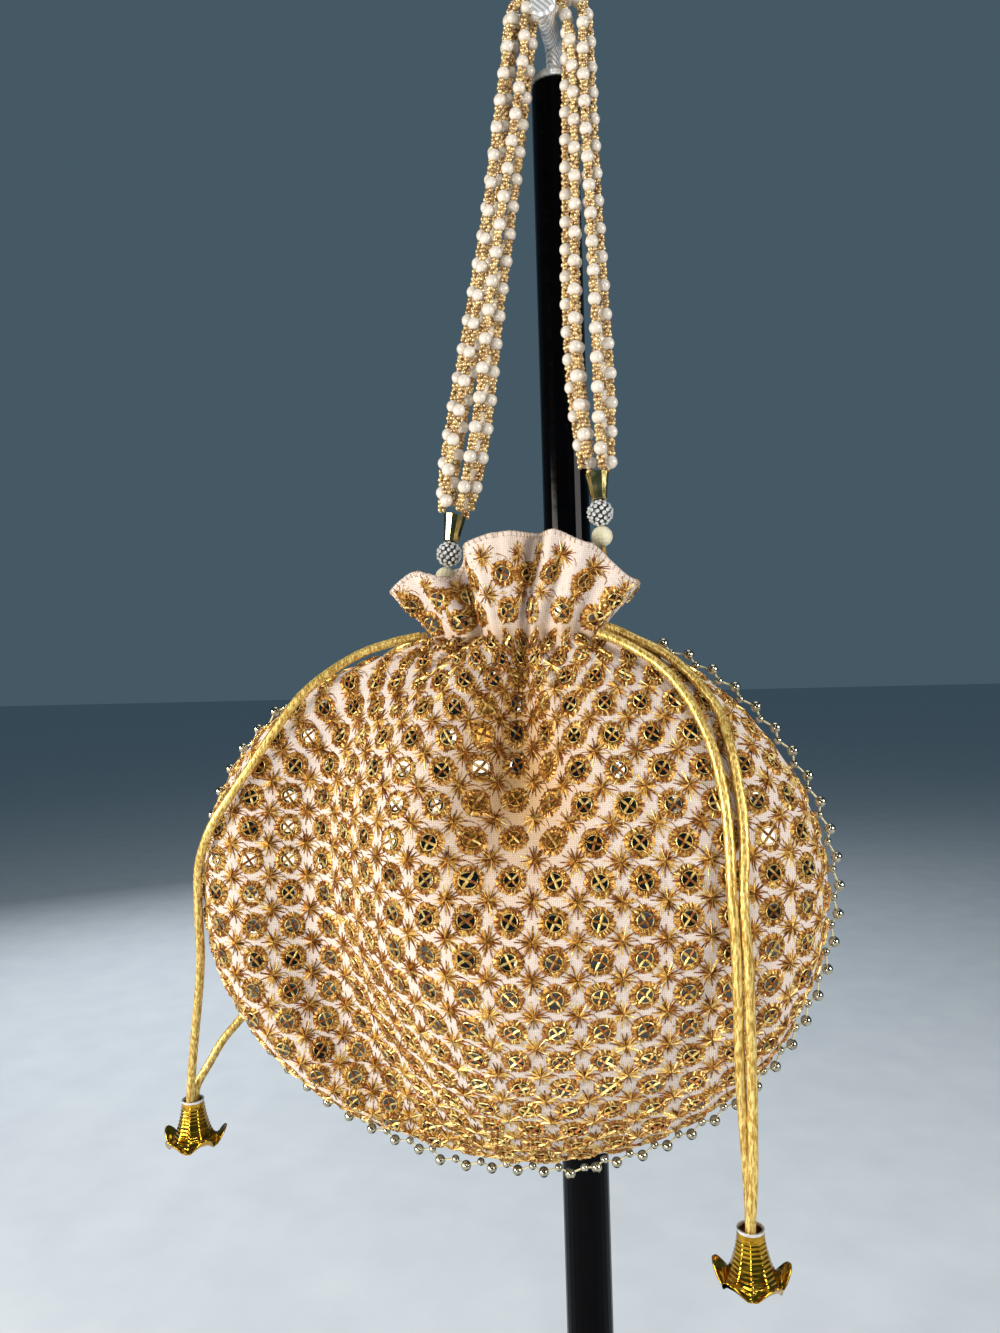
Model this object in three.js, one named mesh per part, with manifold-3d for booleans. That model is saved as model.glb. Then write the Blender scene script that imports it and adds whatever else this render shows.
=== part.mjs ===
// Drawstring evening bag with beaded handle, hanging on a display stand.
// Millimetres, +Z up, the front of the bag faces -Y, the pole stands on the Z axis.
import * as THREE from 'three';
import { mergeVertices } from 'three/addons/utils/BufferGeometryUtils.js';
import Module from 'manifold-3d';

const wasm = await Module();
wasm.setup();
const { Manifold, Mesh: ManifoldMesh } = wasm;

// Stand
const POLE_R = 9.75;
const POLE_TOP = 601.7;
const BASE_R = 85;
const BASE_H = 10;
const BASE_EDGE = 2;
const COLLAR_H = 5;
const STUD_R = 3.17;
const PEG_R = 3.7;
const PEG_Z = 620;
const PEG_FRONT = -23.5;
const PEG_BACK = 6;
const KNOB_R = 5.2;
const KNOB_LENGTH = 5;
const FIT_GAP = 0.3;

// Bag
const BAG_X = -23;
const BAG_BOTTOM = 175;
const GATHER_UP = 196;
const SEAM_Y = -44;
const SEAM_HALF_GAP = 0.15;
const WALL = 1.6;
const SECTION_POWER = 2.6;
const FRONT_PARTS = 5;
const BACK_PARTS = 4;

// One row per section of the pouch, bottom to gathered neck.
// up: height over the bottom seam, shift: centre to the right of the bag's middle,
// half: half width, front and back: how far each panel stands off the seam plane.
const SECTIONS = [
  { up: 0, shift: 2, half: 22, front: 0, back: 0 },
  { up: 3, shift: 1.6, half: 31, front: 8, back: 7 },
  { up: 10, shift: 1, half: 52, front: 15, back: 12 },
  { up: 24, shift: 0, half: 77, front: 25, back: 19 },
  { up: 46, shift: -0.6, half: 99.5, front: 36, back: 26 },
  { up: 74, shift: -0.6, half: 114, front: 44, back: 31 },
  { up: 104, shift: 0, half: 118.6, front: 47, back: 33.2 },
  { up: 130, shift: 0, half: 114, front: 46, back: 33 },
  { up: 152, shift: 0.5, half: 102.5, front: 41, back: 30 },
  { up: 170, shift: 2, half: 86, front: 34, back: 26 },
  { up: 182, shift: 4, half: 69, front: 27, back: 22 },
  { up: 190, shift: 6, half: 51, front: 20, back: 18 },
  { up: GATHER_UP, shift: 8.5, half: 33.5, front: 15, back: 14 },
];

// One row per section of the ruffle, rise 0 at the gather and 1 at the free edge.
const RUFFLE = [
  { rise: 0.22, shift: 8.5, half: 34.5, front: 16.5, back: 15 },
  { rise: 0.5, shift: 8.3, half: 39, front: 20, back: 17.5 },
  { rise: 0.78, shift: 8, half: 44, front: 23, back: 20 },
  { rise: 1, shift: 8, half: 47, front: 24.5, back: 21 },
];

// One row per gather fold of a panel.
// at and edgeAt: share of the half width at the gather and at the free edge,
// depth and edge: how far it goes in at each, width: share of the half width,
// down: how far it runs down the pouch.
const FRONT_FOLDS = [
  { at: -0.8, edgeAt: -0.8, depth: 4, edge: 5, width: 0.12, down: 26 },
  { at: -0.41, edgeAt: -0.43, depth: 8, edge: 17, width: 0.11, down: 40 },
  { at: 0.14, edgeAt: 0.25, depth: 8, edge: 14, width: 0.1, down: 50 },
  { at: 0.42, edgeAt: 0.5, depth: 6, edge: 5, width: 0.1, down: 36 },
  { at: 0.75, edgeAt: 0.78, depth: 5, edge: 5, width: 0.11, down: 30 },
];
const BACK_FOLDS = [
  { at: -0.74, edgeAt: -0.74, depth: 4, edge: 5, width: 0.12, down: 28 },
  { at: -0.36, edgeAt: -0.36, depth: 6, edge: 8, width: 0.12, down: 36 },
  { at: 0.02, edgeAt: 0.02, depth: 6.5, edge: 6, width: 0.12, down: 40 },
  { at: 0.4, edgeAt: 0.4, depth: 6, edge: 8, width: 0.12, down: 36 },
  { at: 0.76, edgeAt: 0.76, depth: 4, edge: 5, width: 0.12, down: 28 },
];

// One row per dent (in) or bulge (negative depth) of the pouch.
// at and width: shares of the half width, lean: change of at over 100 mm up,
// up and reach: millimetres over the bottom seam, flat: how evenly deep it is up and down.
const FRONT_DENTS = [
  { name: 'hollow under the gather', at: 0.12, width: 0.18, lean: 0, up: 148, reach: 30, depth: 21, flat: 2 },
  { name: 'low left flank', at: -0.62, width: 0.3, lean: -0.15, up: 105, reach: 80, depth: 24, flat: 4 },
  { name: 'full belly', at: 0.12, width: 0.42, lean: 0, up: 86, reach: 60, depth: -12, flat: 2 },
];
const BACK_DENTS = [
  { name: 'flat where the pole rests', at: 0.2, width: 0.3, lean: 0, up: 130, reach: 60, depth: 1.5, flat: 2 },
];

// Height of the ruffle over the gather, one row per place across the panel.
const FRONT_EDGE = [
  { at: -1, high: 18 },
  { at: -0.78, high: 24 },
  { at: -0.5, high: 22 },
  { at: -0.34, high: 33 },
  { at: 0, high: 36 },
  { at: 0.4, high: 36.5 },
  { at: 0.7, high: 31 },
  { at: 1, high: 18 },
];
const BACK_EDGE = [
  { at: -1, high: 18 },
  { at: -0.5, high: 28 },
  { at: 0, high: 35 },
  { at: 0.5, high: 33 },
  { at: 1, high: 18 },
];

// Bead trim along the seam
const TRIM_R = 2.5;
const TRIM_GAP = 0.4;
const TRIM_STEPS = 46;
const TRIM_RIGHT_ROW = 11;
const TRIM_LEFT_ROW = 9;

// Handle
const STRAND_COUNT = 6;
const STRAND_R = 2.4;
const STEPS_PER_STOP = 2;
const STRAND_SIDES = 8;
const CAP_H = 10;
const CAP_TOP_R = 4.5;
const CAP_LOW_R = 3;
const CAP_WALL = 0.9;
const BALL_R = 4.7;
const PEARL_R = 4;
const THREAD_R = 1.1;
const THREAD_END_LEFT = [-45.9, -44, 373];
const THREAD_END_RIGHT = [16.9, -44, 373];
// The middle of the strands, left cap to right cap, with their distance from that middle.
const HANDLE_ROUTE = [
  { x: -37.1, y: -44, z: 418.6, spread: 5.2 },
  { x: -34.2, y: -42, z: 437, spread: 7 },
  { x: -30.6, y: -37.6, z: 461, spread: 7.6 },
  { x: -26.4, y: -32.2, z: 494, spread: 6.8 },
  { x: -21.1, y: -26, z: 534, spread: 6 },
  { x: -16.2, y: -20, z: 577, spread: 5.6 },
  { x: -12.8, y: -15, z: 608, spread: 5.2 },
  { x: -11.8, y: -13.6, z: 620, spread: 5.2 },
  { x: -8.4, y: -13.2, z: 628.4, spread: 5.2 },
  { x: 0, y: -13, z: 631.9, spread: 5.2 },
  { x: 8.4, y: -13.2, z: 628.4, spread: 5.2 },
  { x: 11.8, y: -13.6, z: 620, spread: 5.2 },
  { x: 12.6, y: -15, z: 608, spread: 5.2 },
  { x: 12.8, y: -19.6, z: 581, spread: 5.4 },
  { x: 13.2, y: -26, z: 538, spread: 6 },
  { x: 14, y: -33, z: 496, spread: 7 },
  { x: 15.6, y: -38.4, z: 464, spread: 7.4 },
  { x: 17, y: -42.2, z: 445, spread: 6.4 },
  { x: 17.9, y: -44, z: 431, spread: 5.2 },
];

// Drawstrings, each route from the side of the gathered neck to inside its bell
const CORD_R = 1.7;
const CORD_SIDES = 8;
const CORD_STEPS = 25;
const CORD_ROUTES = {
  cord_right_a: [
    [19.8, -51.5, 373.6], [24, -50.6, 372.1], [29.8, -52.3, 369.1], [41, -55.4, 363.2],
    [49.4, -60.4, 356.2], [55.9, -64.8, 348.6], [60, -67.8, 342], [63, -73.6, 331.5],
    [65.1, -78, 319.6], [66.3, -81.6, 308.9], [66.4, -84.6, 297.1], [65.8, -87.4, 284.4],
    [66, -88.4, 272], [66.6, -88.6, 260.2], [66.6, -88.8, 230.8], [66.5, -89.2, 216],
    [65.9, -90.1, 194.4], [64.8, -90.35, 180], [64.8, -90.35, 173.5],
  ],
  cord_right_b: [
    [18, -55.9, 371.2], [23.3, -56.8, 369], [29.4, -58.5, 365.9], [37.9, -62.4, 360.4],
    [44.3, -65.8, 354.4], [49.6, -70, 347.4], [53.3, -72.8, 340.5], [56.8, -76.3, 332.3],
    [59.5, -80.1, 321.5], [61, -83.5, 310.7], [61.8, -86, 299], [62, -88.4, 284.5],
    [62.6, -88.9, 272], [63, -88.6, 260.1], [63, -87.8, 230.7], [63.4, -87.2, 216],
    [64.4, -86.7, 194.3], [64.8, -86.65, 180], [64.8, -86.65, 173.5],
  ],
  cord_left_a: [
    [-52, -45.4, 372.5], [-62, -47.8, 370.6], [-74, -53.6, 366.2], [-85.5, -59.2, 358.8],
    [-95, -62.4, 350.6], [-103.8, -64.6, 339.1], [-112.9, -67, 326.1], [-120.9, -68, 315.1],
    [-128.6, -68.6, 304.3], [-134.2, -67, 294.2], [-138.2, -64.1, 284.3], [-140.1, -61.4, 269.3],
    [-141.6, -58, 251.6], [-144.5, -54.4, 237.5], [-149, -50.8, 216.8], [-151.6, -49, 203.2],
    [-153.2, -47.9, 193.6], [-153.5, -47.85, 189], [-153.5, -47.85, 183],
  ],
  cord_left_b: [
    [-51.5, -41, 372.5], [-57, -36.4, 371], [-63, -34.6, 368.6], [-71, -31.5, 364.4],
    [-77.5, -27.5, 359.5], [-85, -25.6, 353.7], [-93, -22.8, 346.1], [-100, -19.6, 333.1],
    [-105, -16.9, 318.6], [-110, -15.4, 304.1], [-114, -16, 290], [-117, -16.7, 275],
    [-119.5, -18.4, 261.8], [-123, -21.3, 249.8], [-127.5, -26, 237], [-132, -30.5, 226.5],
    [-137, -34, 217.8], [-143.7, -38, 209.4], [-149, -41.5, 199.8], [-152.3, -43.8, 193.6],
    [-153.4, -44.15, 189], [-153.5, -44.15, 183],
  ],
};

// Bells, one row per ring from the neck down.
// drop: below the neck ring, radius: outer radius, petal: how much of the petals shows.
// The petals curl out and up at their tips and meet low down between them.
const BELL_PETALS = 5;
const BELL_WALL = 0.7;
const BELL_SIDES = 20;
const PETAL_OUT = 2.9;
const PETAL_UP = 6;
const BELL_RINGS = [
  { drop: 0, radius: 4.4, petal: 0 },
  { drop: 2.2, radius: 4.5, petal: 0 },
  { drop: 6.5, radius: 5.2, petal: 0 },
  { drop: 11.5, radius: 6.6, petal: 0 },
  { drop: 15.4, radius: 8.1, petal: 0.1 },
  { drop: 17.6, radius: 9.2, petal: 0.45 },
  { drop: 18.2, radius: 9.6, petal: 1 },
];
const BELLS = {
  bell_right: { x: 64.8, y: -88.5, top: 178.5, turn: 0.3 },
  bell_left: { x: -153.5, y: -46, top: 188, turn: 0.55 },
};

// Smooth helpers
function bump(value, width, power = 2) {
  return Math.exp(-((value / width) ** power));
}

function ease(value) {
  const t = Math.min(1, Math.max(0, value));
  return t * t * (3 - 2 * t);
}

function tableAt(rows, key, at, value) {
  let k = 0;
  while (k < rows.length - 2 && at > rows[k + 1][key]) k += 1;
  const share = (at - rows[k][key]) / (rows[k + 1][key] - rows[k][key]);
  return THREE.MathUtils.lerp(rows[k][value], rows[k + 1][value], ease(share));
}

// Closed solid between an outer and an inner grid of points.
function shell(columns, rows, wrapped, outer, inner) {
  const across = wrapped ? columns : columns + 1;
  const positions = [];
  for (const face of [outer, inner]) {
    for (let j = 0; j <= rows; j += 1) {
      for (let i = 0; i < across; i += 1) positions.push(...face(i, j).toArray());
    }
  }
  const id = (layer, i, j) => (layer * (rows + 1) + j) * across + (i % across);
  const index = [];
  const quad = (a, b, c, d) => index.push(a, b, c, a, c, d);
  for (let j = 0; j < rows; j += 1) {
    for (let i = 0; i < columns; i += 1) {
      quad(id(0, i, j), id(0, i + 1, j), id(0, i + 1, j + 1), id(0, i, j + 1));
      quad(id(1, i, j), id(1, i, j + 1), id(1, i + 1, j + 1), id(1, i + 1, j));
    }
  }
  for (let i = 0; i < columns; i += 1) {
    quad(id(0, i + 1, 0), id(0, i, 0), id(1, i, 0), id(1, i + 1, 0));
    quad(id(0, i, rows), id(0, i + 1, rows), id(1, i + 1, rows), id(1, i, rows));
  }
  if (!wrapped) {
    for (let j = 0; j < rows; j += 1) {
      quad(id(0, 0, j), id(0, 0, j + 1), id(1, 0, j + 1), id(1, 0, j));
      quad(id(0, columns, j + 1), id(0, columns, j), id(1, columns, j), id(1, columns, j + 1));
    }
  }
  const geometry = new THREE.BufferGeometry();
  geometry.setAttribute('position', new THREE.Float32BufferAttribute(positions, 3));
  geometry.setIndex(index);
  geometry.computeVertexNormals();
  return geometry;
}

function tube(curve, radius, steps, sides) {
  const ring = [];
  for (let k = 0; k < sides; k += 1) {
    const turn = (k / sides) * Math.PI * 2;
    ring.push(new THREE.Vector2(Math.cos(turn) * radius, Math.sin(turn) * radius));
  }
  return new THREE.ExtrudeGeometry(new THREE.Shape(ring), { steps, extrudePath: curve, bevelEnabled: false });
}

function lathe(profile, sides) {
  const geometry = new THREE.LatheGeometry(profile.map(([r, z]) => new THREE.Vector2(r, z)), sides);
  geometry.rotateX(Math.PI / 2);
  return geometry;
}

function toManifold(geometry) {
  const plain = new THREE.BufferGeometry();
  plain.setAttribute('position', geometry.getAttribute('position').clone());
  if (geometry.index) plain.setIndex(geometry.index.clone());
  const merged = mergeVertices(plain, 1e-3);
  return new Manifold(new ManifoldMesh({
    numProp: 3,
    vertProperties: new Float32Array(merged.getAttribute('position').array),
    triVerts: new Uint32Array(merged.index.array),
  }));
}

function toGeometry(solid) {
  const mesh = solid.getMesh();
  const geometry = new THREE.BufferGeometry();
  geometry.setAttribute('position', new THREE.Float32BufferAttribute(mesh.vertProperties, 3));
  geometry.setIndex(new THREE.Uint32BufferAttribute(mesh.triVerts, 1));
  geometry.computeVertexNormals();
  return geometry;
}

// What each kind of sub-part is made of.
const FINISHES = {
  embroidered_cloth: { color: 0xd9b98c, roughness: 0.7, metalness: 0.1 },
  seam_beads: { color: 0xd3c8a8, roughness: 0.15, metalness: 1 },
  gold_cord: { color: 0xc79a3e, roughness: 0.4, metalness: 0.4 },
  gold_bell: { color: 0xd9b04c, roughness: 0.2, metalness: 1 },
  pearl_strand: { color: 0xe6d3b4, roughness: 0.25, metalness: 0.1 },
  dark_gold_cap: { color: 0x5e4522, roughness: 0.2, metalness: 1 },
  crystal_ball: { color: 0x6d6d72, roughness: 0.2, metalness: 0.5 },
  cream_pearl: { color: 0xeadbbd, roughness: 0.25, metalness: 0 },
  sewing_thread: { color: 0xb98f45, roughness: 0.6, metalness: 0.2 },
  black_stand: { color: 0x101012, roughness: 0.2, metalness: 0.1 },
  bright_metal: { color: 0xc8cacc, roughness: 0.15, metalness: 1 },
};

// The part and its sub-assemblies, each in a place of its own.
function group(name, parent, x, y, z) {
  const made = new THREE.Group();
  made.name = name;
  made.position.set(x, y, z);
  parent.add(made);
  return made;
}

const part = new THREE.Group();
part.name = 'drawstring_evening_bag';
const stand = group('stand', part, 0, 0, 0);
const pouch = group('pouch', part, BAG_X, SEAM_Y, BAG_BOTTOM);
const handle = group('handle', part, 0, 0, 0);
const drawstrings = group('drawstrings', part, 0, 0, 0);

function add(parent, name, geometry, finish) {
  const mesh = new THREE.Mesh(geometry, new THREE.MeshStandardMaterial(FINISHES[finish]));
  mesh.name = name;
  parent.add(mesh);
  return mesh;
}

// Stand
function addStand() {
  const base = [
    [0, 0],
    [BASE_R - BASE_EDGE, 0],
    [BASE_R, BASE_EDGE],
    [BASE_R, BASE_H - BASE_EDGE],
    [BASE_R - BASE_EDGE, BASE_H],
    [0, BASE_H],
  ];
  add(stand, 'stand_base', lathe(base, 32), 'black_stand');
  const foot = BASE_H + FIT_GAP;
  const length = POLE_TOP - foot;
  const pole = add(stand, 'stand_pole', lathe([[0, 0], [POLE_R, 0], [POLE_R, length], [0, length]], 24), 'black_stand');
  pole.position.z = foot;
  const collar = add(stand, 'stand_collar', lathe([
    [0, 0],
    [POLE_R + 0.6, 0],
    [POLE_R + 0.6, 2],
    [POLE_R - 2, 2.6],
    [POLE_R - 2.6, COLLAR_H],
    [0, COLLAR_H],
  ], 24), 'bright_metal');
  collar.position.z = POLE_TOP + FIT_GAP;
  const studFoot = POLE_TOP + FIT_GAP * 2 + COLLAR_H - PEG_Z;
  const stud = lathe([[0, studFoot], [STUD_R, studFoot], [STUD_R, 0], [0, 0]], 14);
  const knobFront = PEG_FRONT - KNOB_LENGTH;
  const arm = lathe([
    [0, -PEG_BACK],
    [PEG_R, -PEG_BACK],
    [PEG_R, -PEG_FRONT],
    [KNOB_R, -PEG_FRONT + 0.5],
    [KNOB_R, -knobFront - 1],
    [KNOB_R - 1, -knobFront],
    [0, -knobFront],
  ], 16);
  arm.rotateX(Math.PI / 2);
  const peg = add(stand, 'stand_peg', toGeometry(Manifold.union(toManifold(stud), toManifold(arm))), 'bright_metal');
  peg.position.z = PEG_Z;
}

// Cloth panels
function sectionRow(row) {
  return row < SECTIONS.length
    ? { ...SECTIONS[row], rise: 0 }
    : { ...RUFFLE[row - SECTIONS.length], up: GATHER_UP };
}

const PANEL_ROWS = SECTIONS.length + RUFFLE.length - 1;

function panelSide(name) {
  return name === 'front'
    ? { key: 'front', way: -1, parts: FRONT_PARTS, folds: FRONT_FOLDS, dents: FRONT_DENTS, edge: FRONT_EDGE }
    : { key: 'back', way: 1, parts: BACK_PARTS, folds: BACK_FOLDS, dents: BACK_DENTS, edge: BACK_EDGE };
}

// Angles across the panel, the same number between each pair of folds.
function panelAngles(side) {
  const marks = [-1, ...side.folds.map((fold) => fold.at), 1];
  const turn = (share) => Math.acos(Math.sign(share) * Math.abs(share) ** (SECTION_POWER / 2));
  const angles = [];
  for (let k = 0; k < marks.length - 1; k += 1) {
    const from = turn(marks[k]);
    const to = turn(marks[k + 1]);
    for (let p = 0; p < side.parts; p += 1) angles.push(from + ((to - from) * p) / side.parts);
  }
  angles.push(0);
  return angles;
}

function foldDepth(side, section, share) {
  let depth = 0;
  const above = section.rise;
  for (const fold of side.folds) {
    const fade = above > 0
      ? THREE.MathUtils.lerp(fold.depth, fold.edge, ease(above))
      : fold.depth * (1 - ease((GATHER_UP - section.up) / fold.down));
    const middle = THREE.MathUtils.lerp(fold.at, fold.edgeAt, above);
    depth += fade * bump(share - middle, fold.width);
  }
  if (above === 0) {
    for (const dent of side.dents) {
      const middle = dent.at + (dent.lean * (section.up - dent.up)) / 100;
      depth += dent.depth * bump(share - middle, dent.width) * bump(section.up - dent.up, dent.reach, dent.flat);
    }
  }
  return depth * (1 - share ** 6);
}

function clothPoint(side, row, angle, folded) {
  const section = sectionRow(row);
  const power = 2 / SECTION_POWER;
  const cosine = Math.cos(angle);
  const sine = Math.max(0, Math.sin(angle));
  const share = Math.sign(cosine) * Math.abs(cosine) ** power;
  const lift = sine < 1e-6 ? 0 : sine ** power;
  const off = section[side.key];
  const high = section.up + section.rise * tableAt(side.edge, 'at', share, 'high');
  let x = section.half * share;
  let y = off * lift;
  if (folded && off > 0) {
    const nx = (Math.sign(share) * Math.abs(share) ** (SECTION_POWER - 1)) / section.half;
    const ny = lift ** (SECTION_POWER - 1) / off;
    const length = Math.hypot(nx, ny);
    const depth = Math.min(foldDepth(side, section, share), 0.8 * off);
    x -= (depth * nx) / length;
    y -= (depth * ny) / length;
  }
  const proud = Math.max(y, 0) + SEAM_HALF_GAP;
  return new THREE.Vector3(section.shift + x, side.way * proud, high);
}

function addPanel(name) {
  const side = panelSide(name);
  const angles = panelAngles(side);
  if (side.way > 0) angles.reverse();
  const columns = angles.length - 1;
  const outer = (i, j) => clothPoint(side, j, angles[i], true);
  const normal = (i, j) => {
    const left = clothPoint(side, j, angles[Math.max(i - 1, 0)], false);
    const right = clothPoint(side, j, angles[Math.min(i + 1, columns)], false);
    const below = clothPoint(side, Math.max(j - 1, 0), angles[i], false);
    const above = clothPoint(side, Math.min(j + 1, PANEL_ROWS), angles[i], false);
    const out = right.sub(left).cross(above.sub(below));
    if (i === 0 || i === columns || j === 0) out.y = 0;
    if (j === 0) out.z = -Math.abs(out.z) - 1e-3;
    return out.normalize();
  };
  const inner = (i, j) => {
    const point = outer(i, j).addScaledVector(normal(i, j), -WALL);
    const limit = side.way * SEAM_HALF_GAP;
    point.y = side.way < 0 ? Math.min(point.y, limit) : Math.max(point.y, limit);
    return point;
  };
  add(pouch, `${name}_panel`, shell(columns, PANEL_ROWS, false, outer, inner), 'embroidered_cloth');
}

// Bead trim, right shoulder to left shoulder along the seam
function addTrim() {
  const edge = [];
  for (let k = TRIM_RIGHT_ROW; k >= 0; k -= 1) {
    const row = SECTIONS[k];
    edge.push(new THREE.Vector3(row.shift + row.half, 0, row.up));
  }
  for (let k = 0; k <= TRIM_LEFT_ROW; k += 1) {
    const row = SECTIONS[k];
    edge.push(new THREE.Vector3(row.shift - row.half, 0, row.up));
  }
  const route = edge.map((point, k) => {
    const before = edge[Math.max(k - 1, 0)];
    const after = edge[Math.min(k + 1, edge.length - 1)];
    const along = after.clone().sub(before).normalize();
    const out = new THREE.Vector3(-along.z, 0, along.x).negate();
    return point.clone().addScaledVector(out, -(TRIM_R + TRIM_GAP));
  });
  add(pouch, 'bead_trim', tube(new THREE.CatmullRomCurve3(route), TRIM_R, TRIM_STEPS, 8), 'seam_beads');
}

// Handle
const handleMiddle = new THREE.CatmullRomCurve3(
  HANDLE_ROUTE.map((stop) => new THREE.Vector3(stop.x, stop.y, stop.z)),
);

function handleFrame(k) {
  const along = handleMiddle.getTangent(k / (HANDLE_ROUTE.length - 1));
  const side = new THREE.Vector3(0, 1, 0).cross(along).normalize();
  const back = along.clone().cross(side);
  return { along, side, back };
}

function addStrand(number) {
  const turn = ((number - 1) / STRAND_COUNT) * Math.PI * 2;
  const points = HANDLE_ROUTE.map((stop, k) => {
    const { side, back } = handleFrame(k);
    return new THREE.Vector3(stop.x, stop.y, stop.z)
      .addScaledVector(side, Math.cos(turn) * stop.spread)
      .addScaledVector(back, Math.sin(turn) * stop.spread);
  });
  const curve = new THREE.CatmullRomCurve3(points);
  curve.getUtoTmapping = (share) => share;
  const steps = (HANDLE_ROUTE.length - 1) * STEPS_PER_STOP;
  add(handle, `handle_strand_${number}`, tube(curve, STRAND_R, steps, STRAND_SIDES), 'pearl_strand');
}

function addHandleEnd(end, stopIndex, threadEnd) {
  const stop = HANDLE_ROUTE[stopIndex];
  const { along } = handleFrame(stopIndex);
  const down = along.clone().multiplyScalar(end === 'left' ? -1 : 1);
  const fitting = group(`handle_end_${end}`, handle, stop.x, stop.y, stop.z);
  fitting.quaternion.setFromUnitVectors(new THREE.Vector3(0, 0, -1), down);
  const cap = add(fitting, `handle_cap_${end}`, lathe([
    [CAP_LOW_R - CAP_WALL, -CAP_H],
    [CAP_LOW_R, -CAP_H],
    [CAP_LOW_R + 0.5, -CAP_H * 0.6],
    [CAP_TOP_R, 0],
    [CAP_TOP_R - CAP_WALL, 0],
    [CAP_LOW_R + 0.5 - CAP_WALL, -CAP_H * 0.6],
    [CAP_LOW_R - CAP_WALL, -CAP_H],
  ], 12), 'dark_gold_cap');
  cap.position.z = -FIT_GAP;
  const ballAt = FIT_GAP * 2 + CAP_H + BALL_R;
  const ball = add(fitting, `pave_ball_${end}`, new THREE.SphereGeometry(BALL_R, 14, 8), 'crystal_ball');
  ball.position.z = -ballAt;
  ball.rotation.x = Math.PI / 2;
  const pearlAt = ballAt + BALL_R + FIT_GAP + PEARL_R;
  const pearl = add(fitting, `end_pearl_${end}`, new THREE.SphereGeometry(PEARL_R, 14, 8), 'cream_pearl');
  pearl.position.z = -pearlAt;
  pearl.rotation.x = Math.PI / 2;
  const start = new THREE.Vector3(stop.x, stop.y, stop.z);
  const from = start.clone().addScaledVector(down, pearlAt + PEARL_R + FIT_GAP);
  const past = from.clone().addScaledVector(down, 5);
  const to = new THREE.Vector3(...threadEnd);
  const rise = to.clone().add(new THREE.Vector3(0, 0, 7));
  const line = new THREE.CatmullRomCurve3([from, past, rise, to]);
  add(handle, `handle_thread_${end}`, tube(line, THREAD_R, 6, 8), 'sewing_thread');
}

// Bells
function petalPoint(ring, angle) {
  const row = BELL_RINGS[Math.min(Math.max(ring, 0), BELL_RINGS.length - 1)];
  const curl = (row.petal * (1 + Math.cos(angle * BELL_PETALS))) / 2;
  return { radius: row.radius + PETAL_OUT * curl, drop: row.drop - PETAL_UP * curl };
}

function bellPoint(ring, angle, inside) {
  const row = petalPoint(ring, angle);
  const before = petalPoint(ring - 1, angle);
  const after = petalPoint(ring + 1, angle);
  const run = after.drop - before.drop;
  const flare = after.radius - before.radius;
  const length = Math.hypot(run, flare);
  const wall = inside ? BELL_WALL : 0;
  return { radius: row.radius - (wall * run) / length, drop: row.drop + (wall * flare) / length };
}

function addBell(name, spot) {
  const face = (inside) => (i, j) => {
    const angle = (-i / BELL_SIDES) * Math.PI * 2;
    const { radius, drop } = bellPoint(j, angle, inside);
    return new THREE.Vector3(Math.cos(angle) * radius, Math.sin(angle) * radius, -drop);
  };
  const bell = add(drawstrings, name, shell(BELL_SIDES, BELL_RINGS.length - 1, true, face(false), face(true)), 'gold_bell');
  bell.position.set(spot.x, spot.y, spot.top);
  bell.rotation.z = spot.turn;
}

addStand();
addPanel('front');
addPanel('back');
addTrim();
for (let number = 1; number <= STRAND_COUNT; number += 1) addStrand(number);
addHandleEnd('left', 0, THREAD_END_LEFT);
addHandleEnd('right', HANDLE_ROUTE.length - 1, THREAD_END_RIGHT);
for (const [name, route] of Object.entries(CORD_ROUTES)) {
  const curve = new THREE.CatmullRomCurve3(route.map((point) => new THREE.Vector3(...point)));
  add(drawstrings, name, tube(curve, CORD_R, CORD_STEPS, CORD_SIDES), 'gold_cord');
}
for (const [name, spot] of Object.entries(BELLS)) addBell(name, spot);

export default part;
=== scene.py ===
"""Drawstring evening bag hung by its pearl handle from a black display stand."""

from __future__ import annotations

import logging
import math
from dataclasses import dataclass, field
from enum import Enum

import bpy
import numpy as np
from mathutils import Matrix, Vector


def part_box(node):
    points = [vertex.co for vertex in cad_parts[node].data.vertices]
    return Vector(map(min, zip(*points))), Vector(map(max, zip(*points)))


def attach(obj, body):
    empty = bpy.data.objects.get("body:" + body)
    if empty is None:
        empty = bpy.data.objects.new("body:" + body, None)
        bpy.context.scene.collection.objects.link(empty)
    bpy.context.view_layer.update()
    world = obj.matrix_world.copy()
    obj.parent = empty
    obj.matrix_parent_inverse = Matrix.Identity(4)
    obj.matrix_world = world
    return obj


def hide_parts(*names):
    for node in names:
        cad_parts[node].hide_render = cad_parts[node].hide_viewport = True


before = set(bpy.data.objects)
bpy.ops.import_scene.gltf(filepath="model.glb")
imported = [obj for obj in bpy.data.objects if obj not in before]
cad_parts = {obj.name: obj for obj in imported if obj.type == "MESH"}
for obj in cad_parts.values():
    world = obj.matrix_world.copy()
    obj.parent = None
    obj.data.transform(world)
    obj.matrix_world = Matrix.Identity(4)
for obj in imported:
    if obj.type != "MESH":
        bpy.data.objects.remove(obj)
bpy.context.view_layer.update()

LOG = logging.getLogger("evening_bag")
MM = 0.001
BODY = "root"
SEED = 20

# Pouch, in millimetres
BAG_X = -23.0
BAG_BOTTOM = 175.0
GATHER_UP = 196.0
GATHER_ROW = 12.0
SEAM_Y = -44.0

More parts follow.
